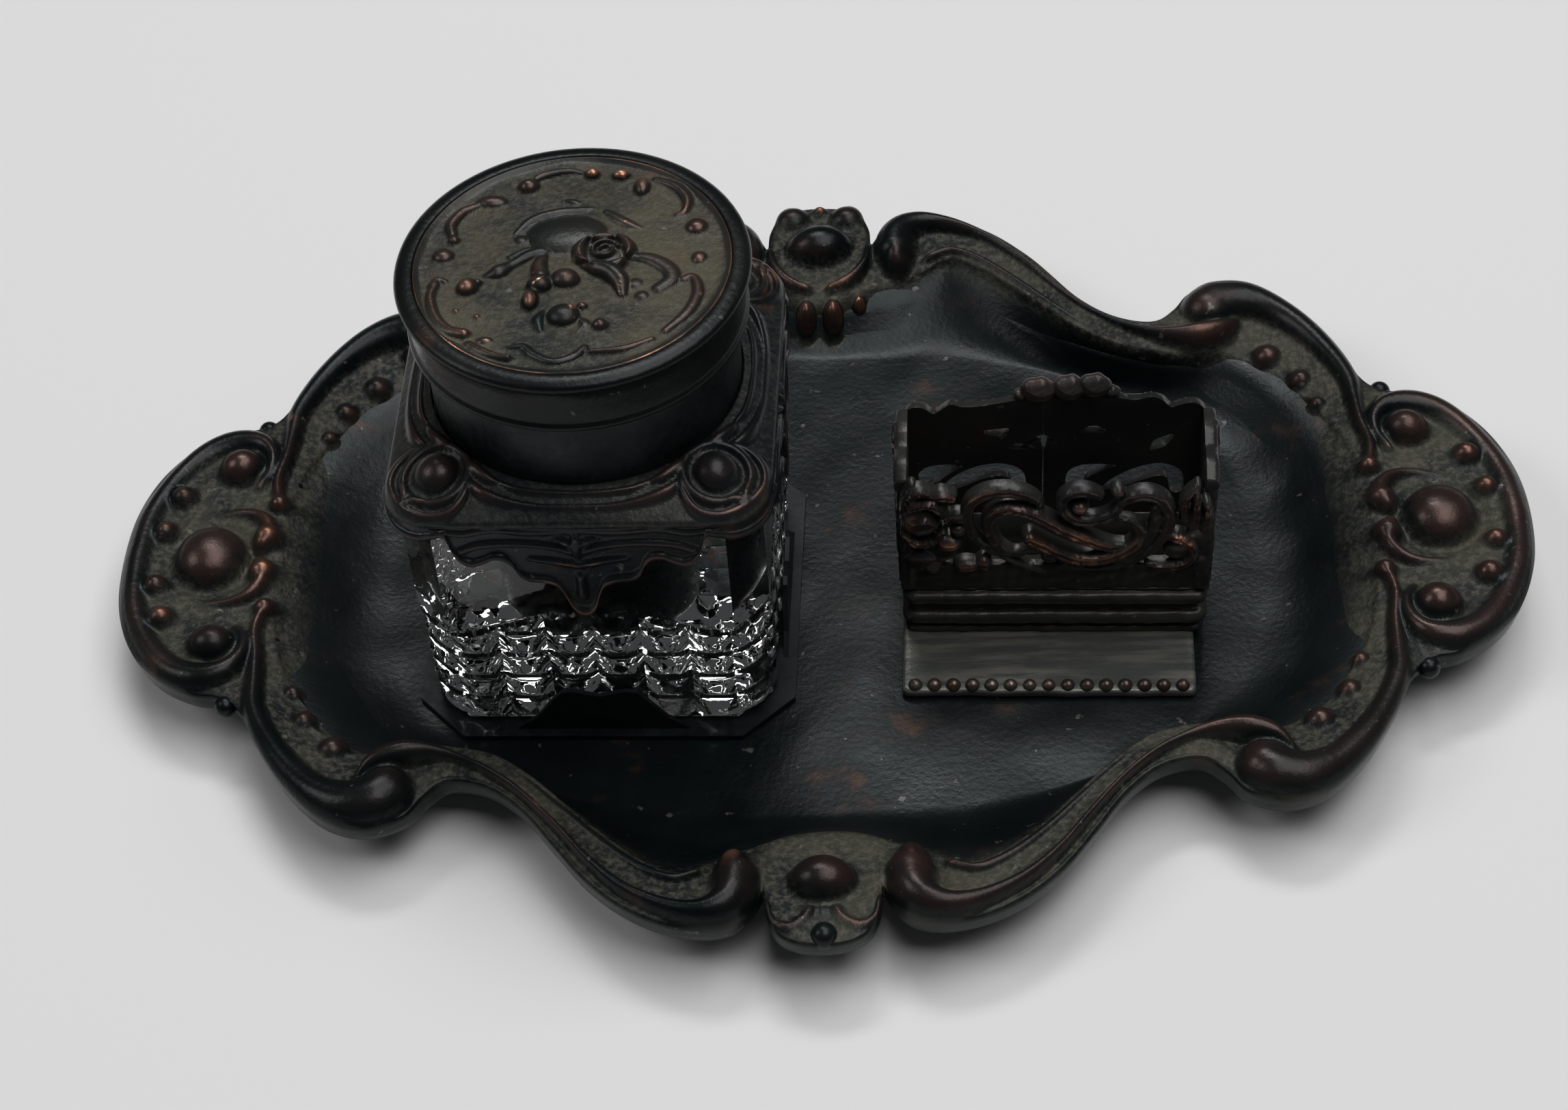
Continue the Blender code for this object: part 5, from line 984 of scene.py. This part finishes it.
def on_box(mesh):
    """Stands a piece of the box at the box's own place."""
    return stand_at(mesh, BOX_AT, BOX_TURN)


def make_plate():
    half_x, half_y = (PLATE_X[1] - PLATE_X[0]) / 2, (PLATE_Y[1] - PLATE_Y[0]) / 2
    centre_x, centre_y = sum(PLATE_X) / 2, sum(PLATE_Y) / 2
    low, high = PLATE_Z
    rows = [(6, low), (0.5, low), (0.12, low + 0.15), (0, low + 0.5), (0, high - 0.55), (0.15, high - 0.15),
            (0.6, high), (1.6, high), (5, high), (12, high)]
    x, y, z = [], [], []
    for inset, height in rows:
        places = oblong(half_x - inset, half_y - inset, max(1.0 - inset, 0.15))
        x.append(places[:, 0] + centre_x)
        y.append(places[:, 1] + centre_y)
        z.append(np.full(len(places), height))
    x, y, z = np.array(x), np.array(y), np.array(z)
    y = y + 0.12 * waves(x, y, 9, 31) * (y < 0)
    mesh = grid_mesh("beaded_plate", x, y, z, cap_ends=True)
    first = -PLATE_BEAD_RUN / 2 - 1.1
    beads = []
    for k in range(PLATE_BEADS):
        size = PLATE_BEAD_RADIUS * (1 + 0.05 * math.sin(7.0 * k))
        place = first + PLATE_BEAD_RUN * k / (PLATE_BEADS - 1)
        beads.append((place, PLATE_Y[0] + 1.3, high, (size, size * 0.96, size)))
    plate_points = len(mesh.vertices)
    mesh = join_meshes(mesh, ball_mesh(beads))
    relief = np.full(len(mesh.vertices), 1.0)
    relief[:plate_points] = 0.0
    note(mesh, "relief", relief)
    return mesh


def make_plinth():
    section = [(0.9, 0.0), (1.0, 0.5), (0.4, 0.9), (-0.3, 1.2)]
    for centre, radius in ((3.3, 1.45), (8.3, 1.35)):
        section.append((-0.5, centre - radius - 0.2))
        section += [(radius * math.cos(a), centre + radius * math.sin(a)) for a in np.linspace(-1.5, 1.5, 13)]
        section.append((-0.5, centre + radius + 0.2))
    section += [(-0.5, 10.1), (0.1, 10.2), (0.1, 10.5), (-1.8, 10.5), (-1.8, 0.0), (0.9, 0.0)]
    x, y, z = [], [], []
    for out, height in section:
        places = oblong(PLINTH_X + out, PLINTH_Y + out, 0.8 + max(out, 0), 300)
        x.append(places[:, 0])
        y.append(places[:, 1])
        z.append(np.full(len(places), PLINTH_FOOT + height))
    x, y, z = np.array(x), np.array(y), np.array(z)
    lumps = 0.12 * waves(x * 1.0, z * 2.0, 5, 33)
    return grid_mesh("rolled_plinth", x, y + lumps * np.sign(y), z)


brushed_plate = patinated(
    "brushed plate", (0.040, 0.046, 0.044, 1), (0.090, 0.096, 0.088, 1), (0.46, 0.25, 0.17, 1),
    (0.08, 0.08, 0.05, 1), 0.9, 0.3, 0.25)
brush_nodes, brush_links = brushed_plate.node_tree.nodes, brushed_plate.node_tree.links
brush_run = brush_nodes.new("ShaderNodeMapping")
brush_run.inputs["Scale"].default_value = (0.12, 1.0, 1.0)
brush_links.new(brush_nodes.new("ShaderNodeTexCoord").outputs["Object"], brush_run.inputs["Vector"])
streaks = cloud(brush_nodes, brush_links, brush_run.outputs["Vector"], 520, 4, 0.6)
brush_base = brush_nodes["Principled BSDF"].inputs["Base Color"]
brush_links.new(mixed(brush_nodes, brush_links, "brush marks",
                      stepped(brush_nodes, brush_links, streaks, 0.42, 0.66),
                      brush_base.links[0].from_socket, (0.16, 0.155, 0.135, 1), "MIX"), brush_base)
box_patina = patinated(
    "box patina", (0.018, 0.019, 0.020, 1), (0.048, 0.046, 0.043, 1), (0.46, 0.23, 0.14, 1),
    (0.05, 0.05, 0.035, 1), 1.0, 0.3, 0.7)
piece("beaded_plate", on_box(make_plate()), brushed_plate, "stand", "bronze", "foot_plate")
piece("rolled_plinth", on_box(make_plinth()), box_patina, "stand", "bronze", "box_plinth")

# The openwork box. Pierced castings set up on the plinth: a front of crossing ribbons between a rose
# and a flame leaf, a back in two halves with a lumpy top edge, and two narrow sides with a leaf that
# hangs outside. They were filed, soldered at the corners and patinated with the tray.
WALL_FOOT, WALL_THICK = 17.4, 1.4
FRONT_HALF, WALL_DEPTH, SEAM = 27.3, 10.0, -2.0
FRONT_STRANDS = [
    [(-2.4, 20.2, 0.5, 0.7), (-3.2, 22.4, 0.9, 1.0), (-5.4, 24.3, 1.2, 1.3), (-8.5, 25.1, 1.3, 1.4),
     (-11.7, 24.7, 1.3, 1.4), (-14.1, 23.0, 1.3, 1.3), (-15.3, 20.5, 1.2, 1.2), (-15.4, 17.4, 1.2, 1.1),
     (-14.5, 14.2, 1.1, 1.0), (-12.9, 11.7, 1.0, 0.9), (-10.4, 9.5, 0.8, 0.8), (-7.3, 7.0, 0.7, 0.7),
     (-4.2, 5.3, 0.5, 0.7), (-2.5, 4.5, 0.4, 0.5)],
    [(-4.0, 10.2, 0.7, 0.6), (-7.2, 9.2, 0.9, 0.8), (-9.8, 11.0, 1.1, 1.0), (-11.3, 14.2, 1.2, 1.2),
     (-11.8, 17.0, 1.2, 1.4), (-11.1, 19.4, 1.2, 1.6), (-9.1, 20.9, 1.2, 1.8), (-6.3, 20.8, 1.2, 2.0),
     (-3.5, 19.5, 1.3, 2.1), (-1.0, 17.7, 1.3, 2.2), (1.5, 15.8, 1.3, 2.2), (4.0, 14.2, 1.3, 2.1),
     (6.5, 12.7, 1.3, 1.9),
     (9.6, 11.2, 1.3, 1.5), (12.1, 11.1, 1.0, 1.0)],
    [(11.5, 22.4, 1.0, 1.2), (13.4, 23.9, 1.2, 1.5), (15.9, 24.2, 1.3, 1.6), (18.0, 23.0, 1.3, 1.6),
     (19.3, 20.5, 1.2, 1.4), (19.7, 17.4, 1.2, 1.3), (19.0, 14.2, 1.1, 1.1), (17.4, 11.1, 1.0, 1.0),
     (14.9, 8.3, 0.9, 0.9),
     (11.8, 6.4, 0.8, 0.8), (8.0, 5.6, 0.7, 0.8), (4.3, 5.8, 0.6, 0.7), (0.9, 6.9, 0.5, 0.6)],
    [(17.1, 21.1, 0.9, 0.9), (17.4, 17.6, 1.1, 1.0), (16.4, 13.9, 1.2, 1.0), (14.1, 10.3, 1.2, 1.1),
     (10.6, 7.7, 1.1, 1.1)],
    [(-4.5, 13.7, 1.5, 2.2), (-1.7, 11.7, 1.4, 2.2), (0.9, 9.9, 1.4, 2.2), (3.4, 8.6, 1.4, 2.1),
     (5.9, 8.1, 1.4, 2.0),
     (9.0, 8.6, 1.4, 1.9), (12.1, 10.2, 1.4, 1.8), (14.3, 12.7, 1.3, 1.6), (14.6, 15.2, 1.2, 1.3),
     (13.4, 17.0, 1.0, 1.0),
     (10.9, 17.9, 0.7, 0.6)],
    [(11.5, 22.4, 0.8, 1.0), (9.6, 19.2, 1.2, 1.4), (6.5, 17.9, 1.2, 1.5), (3.4, 18.3, 1.2, 1.6),
     (1.4, 20.5, 1.2, 1.6),
     (1.2, 23.0, 1.1, 1.5), (2.7, 24.7, 1.1, 1.5), (5.2, 25.0, 1.1, 1.4), (7.4, 23.8, 0.9, 1.1)],
    [(-26.2, 0.0, 1.3, 0.5), (-26.2, 12.0, 1.3, 0.7), (-26.0, 22.0, 1.1, 0.8), (-24.9, 26.4, 0.7, 0.8)],
    [(-26.4, 14.6, 0.7, 1.4), (-24.4, 12.6, 0.9, 2.0), (-21.6, 13.0, 0.9, 2.0), (-19.6, 15.4, 0.8, 1.6)],
    [(-25.4, 21.6, 0.8, 2.0), (-22.4, 22.8, 1.0, 2.4), (-19.8, 21.2, 0.9, 2.6), (-19.0, 18.6, 0.7, 1.8)],
    [(-25.0, 18.4, 0.6, 2.3), (-22.6, 19.2, 0.7, 2.6), (-20.6, 18.0, 0.5, 2.4)],
    [(-22.0, 24.6, 0.9, 1.6), (-24.0, 25.2, 1.0, 1.8), (-25.2, 23.2, 0.9, 1.4)],
    [(-18.0, 23.8, 1.0, 1.6), (-20.0, 24.4, 1.1, 1.9), (-21.4, 23.4, 0.8, 1.3)],
    [(26.2, 0.0, 1.3, 0.5), (26.2, 10.0, 1.3, 0.7), (26.4, 18.0, 1.2, 0.9)],
    [(22.3, 18.2, 1.0, 1.2), (22.0, 21.2, 0.9, 1.6), (22.6, 24.0, 0.8, 1.6), (24.2, 26.6, 0.4, 0.8)],
    [(23.8, 16.6, 1.2, 1.3), (24.2, 20.4, 1.0, 1.9), (24.0, 23.6, 0.7, 1.8), (24.4, 26.0, 0.4, 1.0)],
    [(25.8, 16.0, 1.0, 1.1), (26.2, 19.6, 0.9, 1.5), (25.8, 22.2, 0.7, 1.2)],
    [(19.6, 13.8, 0.8, 1.2), (21.6, 13.6, 1.1, 2.0), (23.6, 11.8, 1.0, 2.0), (24.2, 9.2, 0.9, 1.6),
     (22.6, 6.8, 0.9, 1.5),
     (19.4, 6.0, 1.0, 1.4), (16.2, 6.4, 0.6, 0.8)]]
FRONT_BUDS = [
    (-23.6, 17.6, 3.6, 3.6, 0, 1.9), (-18.6, 12.4, 2.4, 1.8, 0, 2.1), (-23.4, 7.8, 3.2, 2.6, 0, 1.8),
    (-21.6, 6.6, 1.8, 1.4, 0, 2.3), (-15.6, 6.2, 2.4, 1.5, 0, 1.5), (-12.6, 6.8, 1.4, 1.8, 0, 1.6),
    (-17.0, 18.6, 1.9, 1.5, 0, 1.2), (-17.0, 15.4, 1.5, 1.4, 0, 1.4), (4.1, 21.4, 1.7, 1.4, 0, 2.0),
    (10.6, 24.8, 1.3, 1.2, 0, 1.4), (21.4, 9.8, 2.6, 2.2, 0, 0.9), (25.6, 6.0, 1.6, 3.6, 0, 1.0),
    (-1.0, 8.0, 1.6, 1.2, 0, 0.9), (24.6, 13.4, 2.2, 2.4, 0, 0.9), (-20.4, 9.8, 3.0, 3.0, 0, 0.8)]
BACK_TOP = [
    (-27.3, 24.4), (-26.2, 26.0), (-24.6, 26.8), (-22.9, 26.4), (-21.4, 25.2), (-19.8, 26.4), (-18.2, 27.5),
    (-16.6, 26.9), (-14.0, 26.9), (-9.5, 27.8), (-6.0, 28.6), (0.0, 28.9), (9.6, 29.0), (14.0, 28.4),
    (16.8, 29.1),
    (18.8, 28.3), (20.3, 26.6), (22.0, 27.2), (24.2, 27.7), (26.0, 26.4), (27.3, 23.4)]
BACK_HOLES = [
    [(-23.6, 5.9, 0.3), (-22.4, 9.2, 2.1), (-19.6, 11.0, 1.4), (-16.6, 11.9, 0.2)],
    [(-20.2, 5.6, 0.3), (-17.6, 7.6, 1.5), (-13.8, 10.0, 1.7), (-9.8, 11.0, 1.6), (-7.0, 9.8, 1.5),
     (-6.2, 6.6, 1.3)],
    [(-12.0, 20.6, 0.5), (-10.4, 20.4, 0.9), (-8.4, 21.2, 0.4)],
    [(-7.8, 16.6, 0.3), (-6.4, 16.9, 0.8), (-4.9, 16.6, 0.3)],
    [(3.6, 6.6, 1.6), (4.4, 9.8, 1.9), (7.4, 11.2, 1.2), (10.6, 11.9, 0.2)],
    [(8.4, 5.8, 0.3), (11.6, 7.8, 1.4), (15.6, 10.0, 1.7), (19.0, 10.9, 1.6), (21.4, 9.6, 1.5),
     (22.0, 6.2, 1.3)],
    [(5.0, 20.6, 0.4), (6.8, 21.2, 0.9), (8.6, 20.8, 0.5)],
    [(17.2, 16.2, 0.4), (18.6, 17.6, 1.2), (20.6, 19.4, 0.5)],
    [(-4.6, 17.4, 0.2), (-3.2, 18.6, 0.6), (-2.0, 19.0, 0.8), (-0.8, 18.4, 0.5), (0.9, 17.4, 0.2)],
    [(-2.0, 18.6, 0.7), (-1.9, 17.0, 0.5), (-1.9, 15.6, 0.2)]]
SIDE_STRANDS = [
    [(-7.4, 0.0, 1.1, 0.5), (-7.4, 13.0, 1.1, 0.6), (-7.0, 22.6, 1.3, 0.8)],
    [(7.4, 0.0, 1.1, 0.5), (7.4, 13.0, 1.1, 0.6), (7.2, 24.6, 1.2, 0.8)],
    [(-7.6, 24.4, 1.4, 0.9), (-4.2, 25.6, 1.3, 1.0), (-0.4, 25.0, 1.3, 1.0), (3.4, 26.0, 1.3, 1.0),
     (7.6, 25.6, 1.4, 0.9)],
    [(-7.0, 8.0, 1.0, 0.8), (-3.4, 10.4, 1.2, 1.0), (-1.8, 14.4, 1.2, 1.1), (-4.4, 17.6, 1.1, 1.0),
     (-6.4, 15.6, 0.8, 0.8)],
    [(6.8, 8.0, 1.0, 0.8), (2.6, 11.0, 1.2, 1.0), (1.8, 16.0, 1.2, 1.1), (4.6, 20.0, 1.1, 1.0),
     (2.6, 22.6, 1.0, 0.9),
     (-1.8, 21.6, 1.0, 0.8), (-5.6, 22.6, 0.9, 0.7)],
    [(4.7, 26.0, 1.2, 1.4), (4.9, 22.6, 1.9, 1.7), (4.8, 18.8, 1.5, 1.6), (4.4, 15.6, 0.5, 0.9)]]


def openwork(name, us, hs, level, relief, cell=0.34):
    """A pierced plate: solid where the level is above zero, flat inside, in relief on its outer face."""
    u, h = np.meshgrid(np.arange(us[0] - cell, us[1] + 2 * cell, cell), np.arange(-cell, hs + 2 * cell, cell))
    solid = level((u + cell / 2)[:-1, :-1], (h + cell / 2)[:-1, :-1]) > 0
    solid[[0, -1]] = False
    solid[:, [0, -1]] = False
    for _ in range(6):
        a, b, c, d = solid[:-1, :-1], solid[:-1, 1:], solid[1:, :-1], solid[1:, 1:]
        one, other = a & d & ~b & ~c, b & c & ~a & ~d
        b |= one
        a |= other
    around = np.zeros(u.shape, int)
    for di, dj in ((0, 0), (0, 1), (1, 0), (1, 1)):
        around[di:di + solid.shape[0], dj:dj + solid.shape[1]] += solid
    edge = (around > 0) & (around < 4)
    eu, eh = u[edge], h[edge]
    small = 0.03
    for _ in range(4):
        f = level(eu, eh)
        gu = (level(eu + small, eh) - level(eu - small, eh)) / (2 * small)
        gh = (level(eu, eh + small) - level(eu, eh - small)) / (2 * small)
        step = f / np.maximum(gu ** 2 + gh ** 2, 0.25)
        eu = np.clip(eu - step * gu, u[edge] - 0.62 * cell, u[edge] + 0.62 * cell)
        eh = np.clip(eh - step * gh, h[edge] - 0.62 * cell, h[edge] + 0.62 * cell)
    u, h = u.copy(), h.copy()
    u[edge], h[edge] = eu, eh
    used = around > 0
    number = np.cumsum(used).reshape(used.shape) - 1
    count = int(used.sum())
    rise = relief(u[used], h[used])
    outer = np.stack([u[used], -WALL_THICK - rise, h[used]], 1)
    inner = np.stack([u[used], 0 * rise, h[used]], 1)
    i, j = np.nonzero(solid)
    corners = np.stack([number[i, j], number[i, j + 1], number[i + 1, j + 1], number[i + 1, j]], 1)
    faces = [corners, corners[:, ::-1] + count]
    padded = np.pad(solid, 1)
    for (di, dj), a, b in (((-1, 0), 0, 1), ((0, 1), 1, 2), ((1, 0), 2, 3), ((0, -1), 3, 0)):
        bare = ~padded[i + 1 + di, j + 1 + dj]
        start, end = corners[bare, a], corners[bare, b]
        faces.append(np.stack([end, start, start + count, end + count], 1))
    mesh = bpy.data.meshes.new(name)
    mesh.from_pydata((np.vstack([outer, inner]) * MM).tolist(), [], np.vstack(faces).tolist())
    mesh.shade_smooth()
    mesh.set_sharp_from_angle(angle=math.radians(55))
    note(mesh, "relief", np.concatenate([rise - 0.7, 0 * rise - 0.1]) * 1.5)
    note(mesh, "sand", np.zeros(2 * count))
    return mesh


def strand_level(u, h, strands, buds=()):
    """How far each place lies inside the nearest strand or bud."""
    best = np.full(u.shape, -9.0)
    for points in strands:
        gap, extra = along(smooth_path(points, 5), u, h)
        best = np.maximum(best, extra[..., 0] - gap)
    for cx, cy, rx, ry, _, _ in buds:
        q = np.sqrt(((u - cx) / rx) ** 2 + ((h - cy) / ry) ** 2)
        best = np.maximum(best, (1 - q) * min(rx, ry))
    return best


def strand_relief(u, h, strands, buds=()):
    """Height of the relief: round-backed strands with a crease, and domed buds."""
    z = np.zeros(u.shape)
    for points in strands:
        gap, extra = along(smooth_path(points, 5), u, h)
        g = gap / np.maximum(extra[..., 0], 0.05)
        crease = 0.28 * np.exp(-(g / 0.30) ** 2) * (extra[..., 0] > 0.8)
        z = np.maximum(z, extra[..., 1] * np.sqrt(np.clip(1 - g ** 2, 0, 1)) * (1 - crease))
    for dome in buds:
        raise_dome(z, u, h, dome)
    return z


def front_level(u, h):
    whole = np.maximum(6.0 - h, strand_level(u, h, FRONT_STRANDS, FRONT_BUDS))
    return np.minimum(np.minimum(whole, h), FRONT_HALF - np.abs(u))


def front_relief(u, h):
    return strand_relief(u, h, FRONT_STRANDS, FRONT_BUDS) + 0.10 * waves(u, h, 3.0, 41)


def back_level(u, h, side):
    top = smooth_path(BACK_TOP, 6)
    whole = np.interp(u, top[:, 0], top[:, 1]) - h
    for points in BACK_HOLES:
        gap, extra = along(smooth_path(points, 5), u, h)
        whole = np.minimum(whole, gap - extra[..., 0])
    seam = side * (u - SEAM) - 0.02 - 0.11 * np.clip(1 - h / 17, 0, 1)
    return np.minimum(np.minimum(whole, h), np.minimum(seam, FRONT_HALF - np.abs(u)))


def back_relief(u, h):
    top = smooth_path(BACK_TOP, 6)
    brim = np.interp(u, top[:, 0], top[:, 1]) - h
    z = 0.6 * np.sqrt(np.clip(1 - ((brim - 1.3) / 1.3) ** 2, 0, 1))
    for points in BACK_HOLES:
        gap, extra = along(smooth_path(points, 5), u, h)
        z = np.maximum(z, 0.5 * np.sqrt(np.clip(1 - ((gap - extra[..., 0] - 0.8) / 0.8) ** 2, 0, 1)))
    return z + 0.10 * waves(u, h, 3.4, 42)


def side_level(u, h):
    whole = np.maximum(6.0 - h, strand_level(u, h, SIDE_STRANDS))
    return np.minimum(np.minimum(whole, h), 8.3 - np.abs(u))


def side_relief(u, h):
    return strand_relief(u, h, SIDE_STRANDS) + 0.08 * waves(u, h, 3.0, 43)


def set_wall(name, mesh, turn, x, y, node):
    """Turns a plate to its side of the box and puts it in the scene."""
    mesh.transform(Matrix.Translation((x * MM, y * MM, WALL_FOOT * MM)) @ Matrix.Rotation(turn, 4, "Z"))
    piece(name, on_box(mesh), box_patina, "stand", "bronze", node)


inner_face = WALL_DEPTH - WALL_THICK
set_wall("ribbon_front", openwork("ribbon_front", (-FRONT_HALF, FRONT_HALF), 28, front_level, front_relief),
         0, 0, -inner_face, "box_front")
for back_name, side, node in (("back_half_left", -1, "box_back_left"),
                              ("back_half_right", 1, "box_back_right")):
    half = openwork(back_name, (-FRONT_HALF, FRONT_HALF), 31, lambda u, h, side=side: back_level(-u, h, side),
                    lambda u, h: back_relief(-u, h))
    set_wall(back_name, half, math.pi, 0, inner_face, node)
set_wall("side_right", openwork("side_right", (-8.3, 8.3), 28, side_level, side_relief),
         math.pi / 2, FRONT_HALF - WALL_THICK, 0, "box_side_right")
set_wall("side_left", openwork("side_left", (-8.3, 8.3), 28, lambda u, h: side_level(-u, h),
                               lambda u, h: side_relief(-u, h)),
         -math.pi / 2, WALL_THICK - FRONT_HALF, 0, "box_side_left")

# The crest. Three shell lobes cast as one cap that hides the top of the back's seam, with lesser
# lumps of the same kind along the edge.
CREST_LOBES = [
    (-2.9, 30.4, 3.3, 2.0, 2.5), (2.5, 30.9, 3.0, 2.1, 2.5), (6.9, 31.4, 2.9, 1.9, 2.4),
    (-6.0, 29.4, 1.3, 1.2, 0.9),
    (9.9, 30.0, 1.5, 1.2, 1.0)]


def make_crest():
    lobes = []
    for x, h, rx, ry, rz in CREST_LOBES:
        lobe = ball_mesh([(0, 0, 0, (rx, ry, rz))], 40, 26)
        for v in lobe.vertices:
            rib = 1 + 0.05 * math.cos(5 * math.atan2(v.co.z, v.co.x + 1e-9)) * (v.co.z > 0)
            v.co = v.co * rib
        lobe.transform(Matrix.Translation((x * MM, 9.3 * MM, (WALL_FOOT + h) * MM)))
        lobes.append(lobe)
    return join_meshes(lobes[0], *lobes[1:])


crest_mesh = make_crest()
note(crest_mesh, "relief", np.full(len(crest_mesh.vertices), 0.45))
note(crest_mesh, "sand", np.full(len(crest_mesh.vertices), 0.15))
piece("shell_crest", on_box(crest_mesh), box_patina, "stand", "bronze", "box_crest")

# The room. A pale table top under plain soft light, and the camera of the photograph.
floor_mesh = bpy.data.meshes.new("table_top")
floor_mesh.from_pydata([(-6, -6, 0), (6, -6, 0), (6, 6, 0), (-6, 6, 0)], [], [(0, 1, 2, 3)])
table_top = bpy.data.objects.new("table_top", floor_mesh)
table_top.location = (0, 0, -0.0002)
bpy.context.scene.collection.objects.link(table_top)
tabletop = bpy.data.materials.new("pale table top")
tabletop.use_nodes = True
tabletop.node_tree.nodes["Principled BSDF"].inputs["Base Color"].default_value = (0.74, 0.735, 0.735, 1)
tabletop.node_tree.nodes["Principled BSDF"].inputs["Roughness"].default_value = 0.75
floor_mesh.materials.append(tabletop)

world = bpy.data.worlds.new("room")
bpy.context.scene.world = world
world.use_nodes = True
sky = world.node_tree.nodes["Background"]
sky.inputs["Color"].default_value = (0.95, 0.97, 1.0, 1)
sky.inputs["Strength"].default_value = 0.05


def window(name, place, size, power):
    """A soft rectangular light that faces the inkstand."""
    lamp = bpy.data.lights.new(name, "AREA")
    lamp.shape = "RECTANGLE"
    lamp.size, lamp.size_y = size
    lamp.energy = power
    made = bpy.data.objects.new(name, lamp)
    bpy.context.scene.collection.objects.link(made)
    made.location = place
    made.rotation_euler = (Vector((0, 0, 0.03)) - Vector(place)).to_track_quat("-Z", "Y").to_euler()


window("back_window", (-0.1, 1.1, 1.95), (0.9, 0.35), 13)
window("left_window", (-1.5, -0.1, 1.5), (0.8, 0.8), 8)
window("ceiling_panel", (0.6, 0.0, 2.2), (2.2, 1.4), 36)

camera = bpy.data.objects.new("camera", bpy.data.cameras.new("camera"))
bpy.context.scene.collection.objects.link(camera)
bearing, dip, roll = math.radians(-3.4945), math.radians(47.3337), math.radians(-4.5337)
ahead = Vector((math.sin(bearing) * math.cos(dip), math.cos(bearing) * math.cos(dip), -math.sin(dip)))
level = Vector((math.cos(bearing), -math.sin(bearing), 0))
upward = level.cross(ahead)
right = math.cos(roll) * level + math.sin(roll) * upward
over = math.cos(roll) * upward - math.sin(roll) * level
camera.matrix_world = Matrix.Translation((0.016753, -0.389492, 0.432628)) @ Matrix(
    (right, over, -ahead)).transposed().to_4x4()
camera.data.sensor_width = 36
camera.data.lens = 71.64
camera.data.clip_start = 0.01
bpy.context.scene.camera = camera
bpy.context.scene.view_settings.view_transform = "Standard"
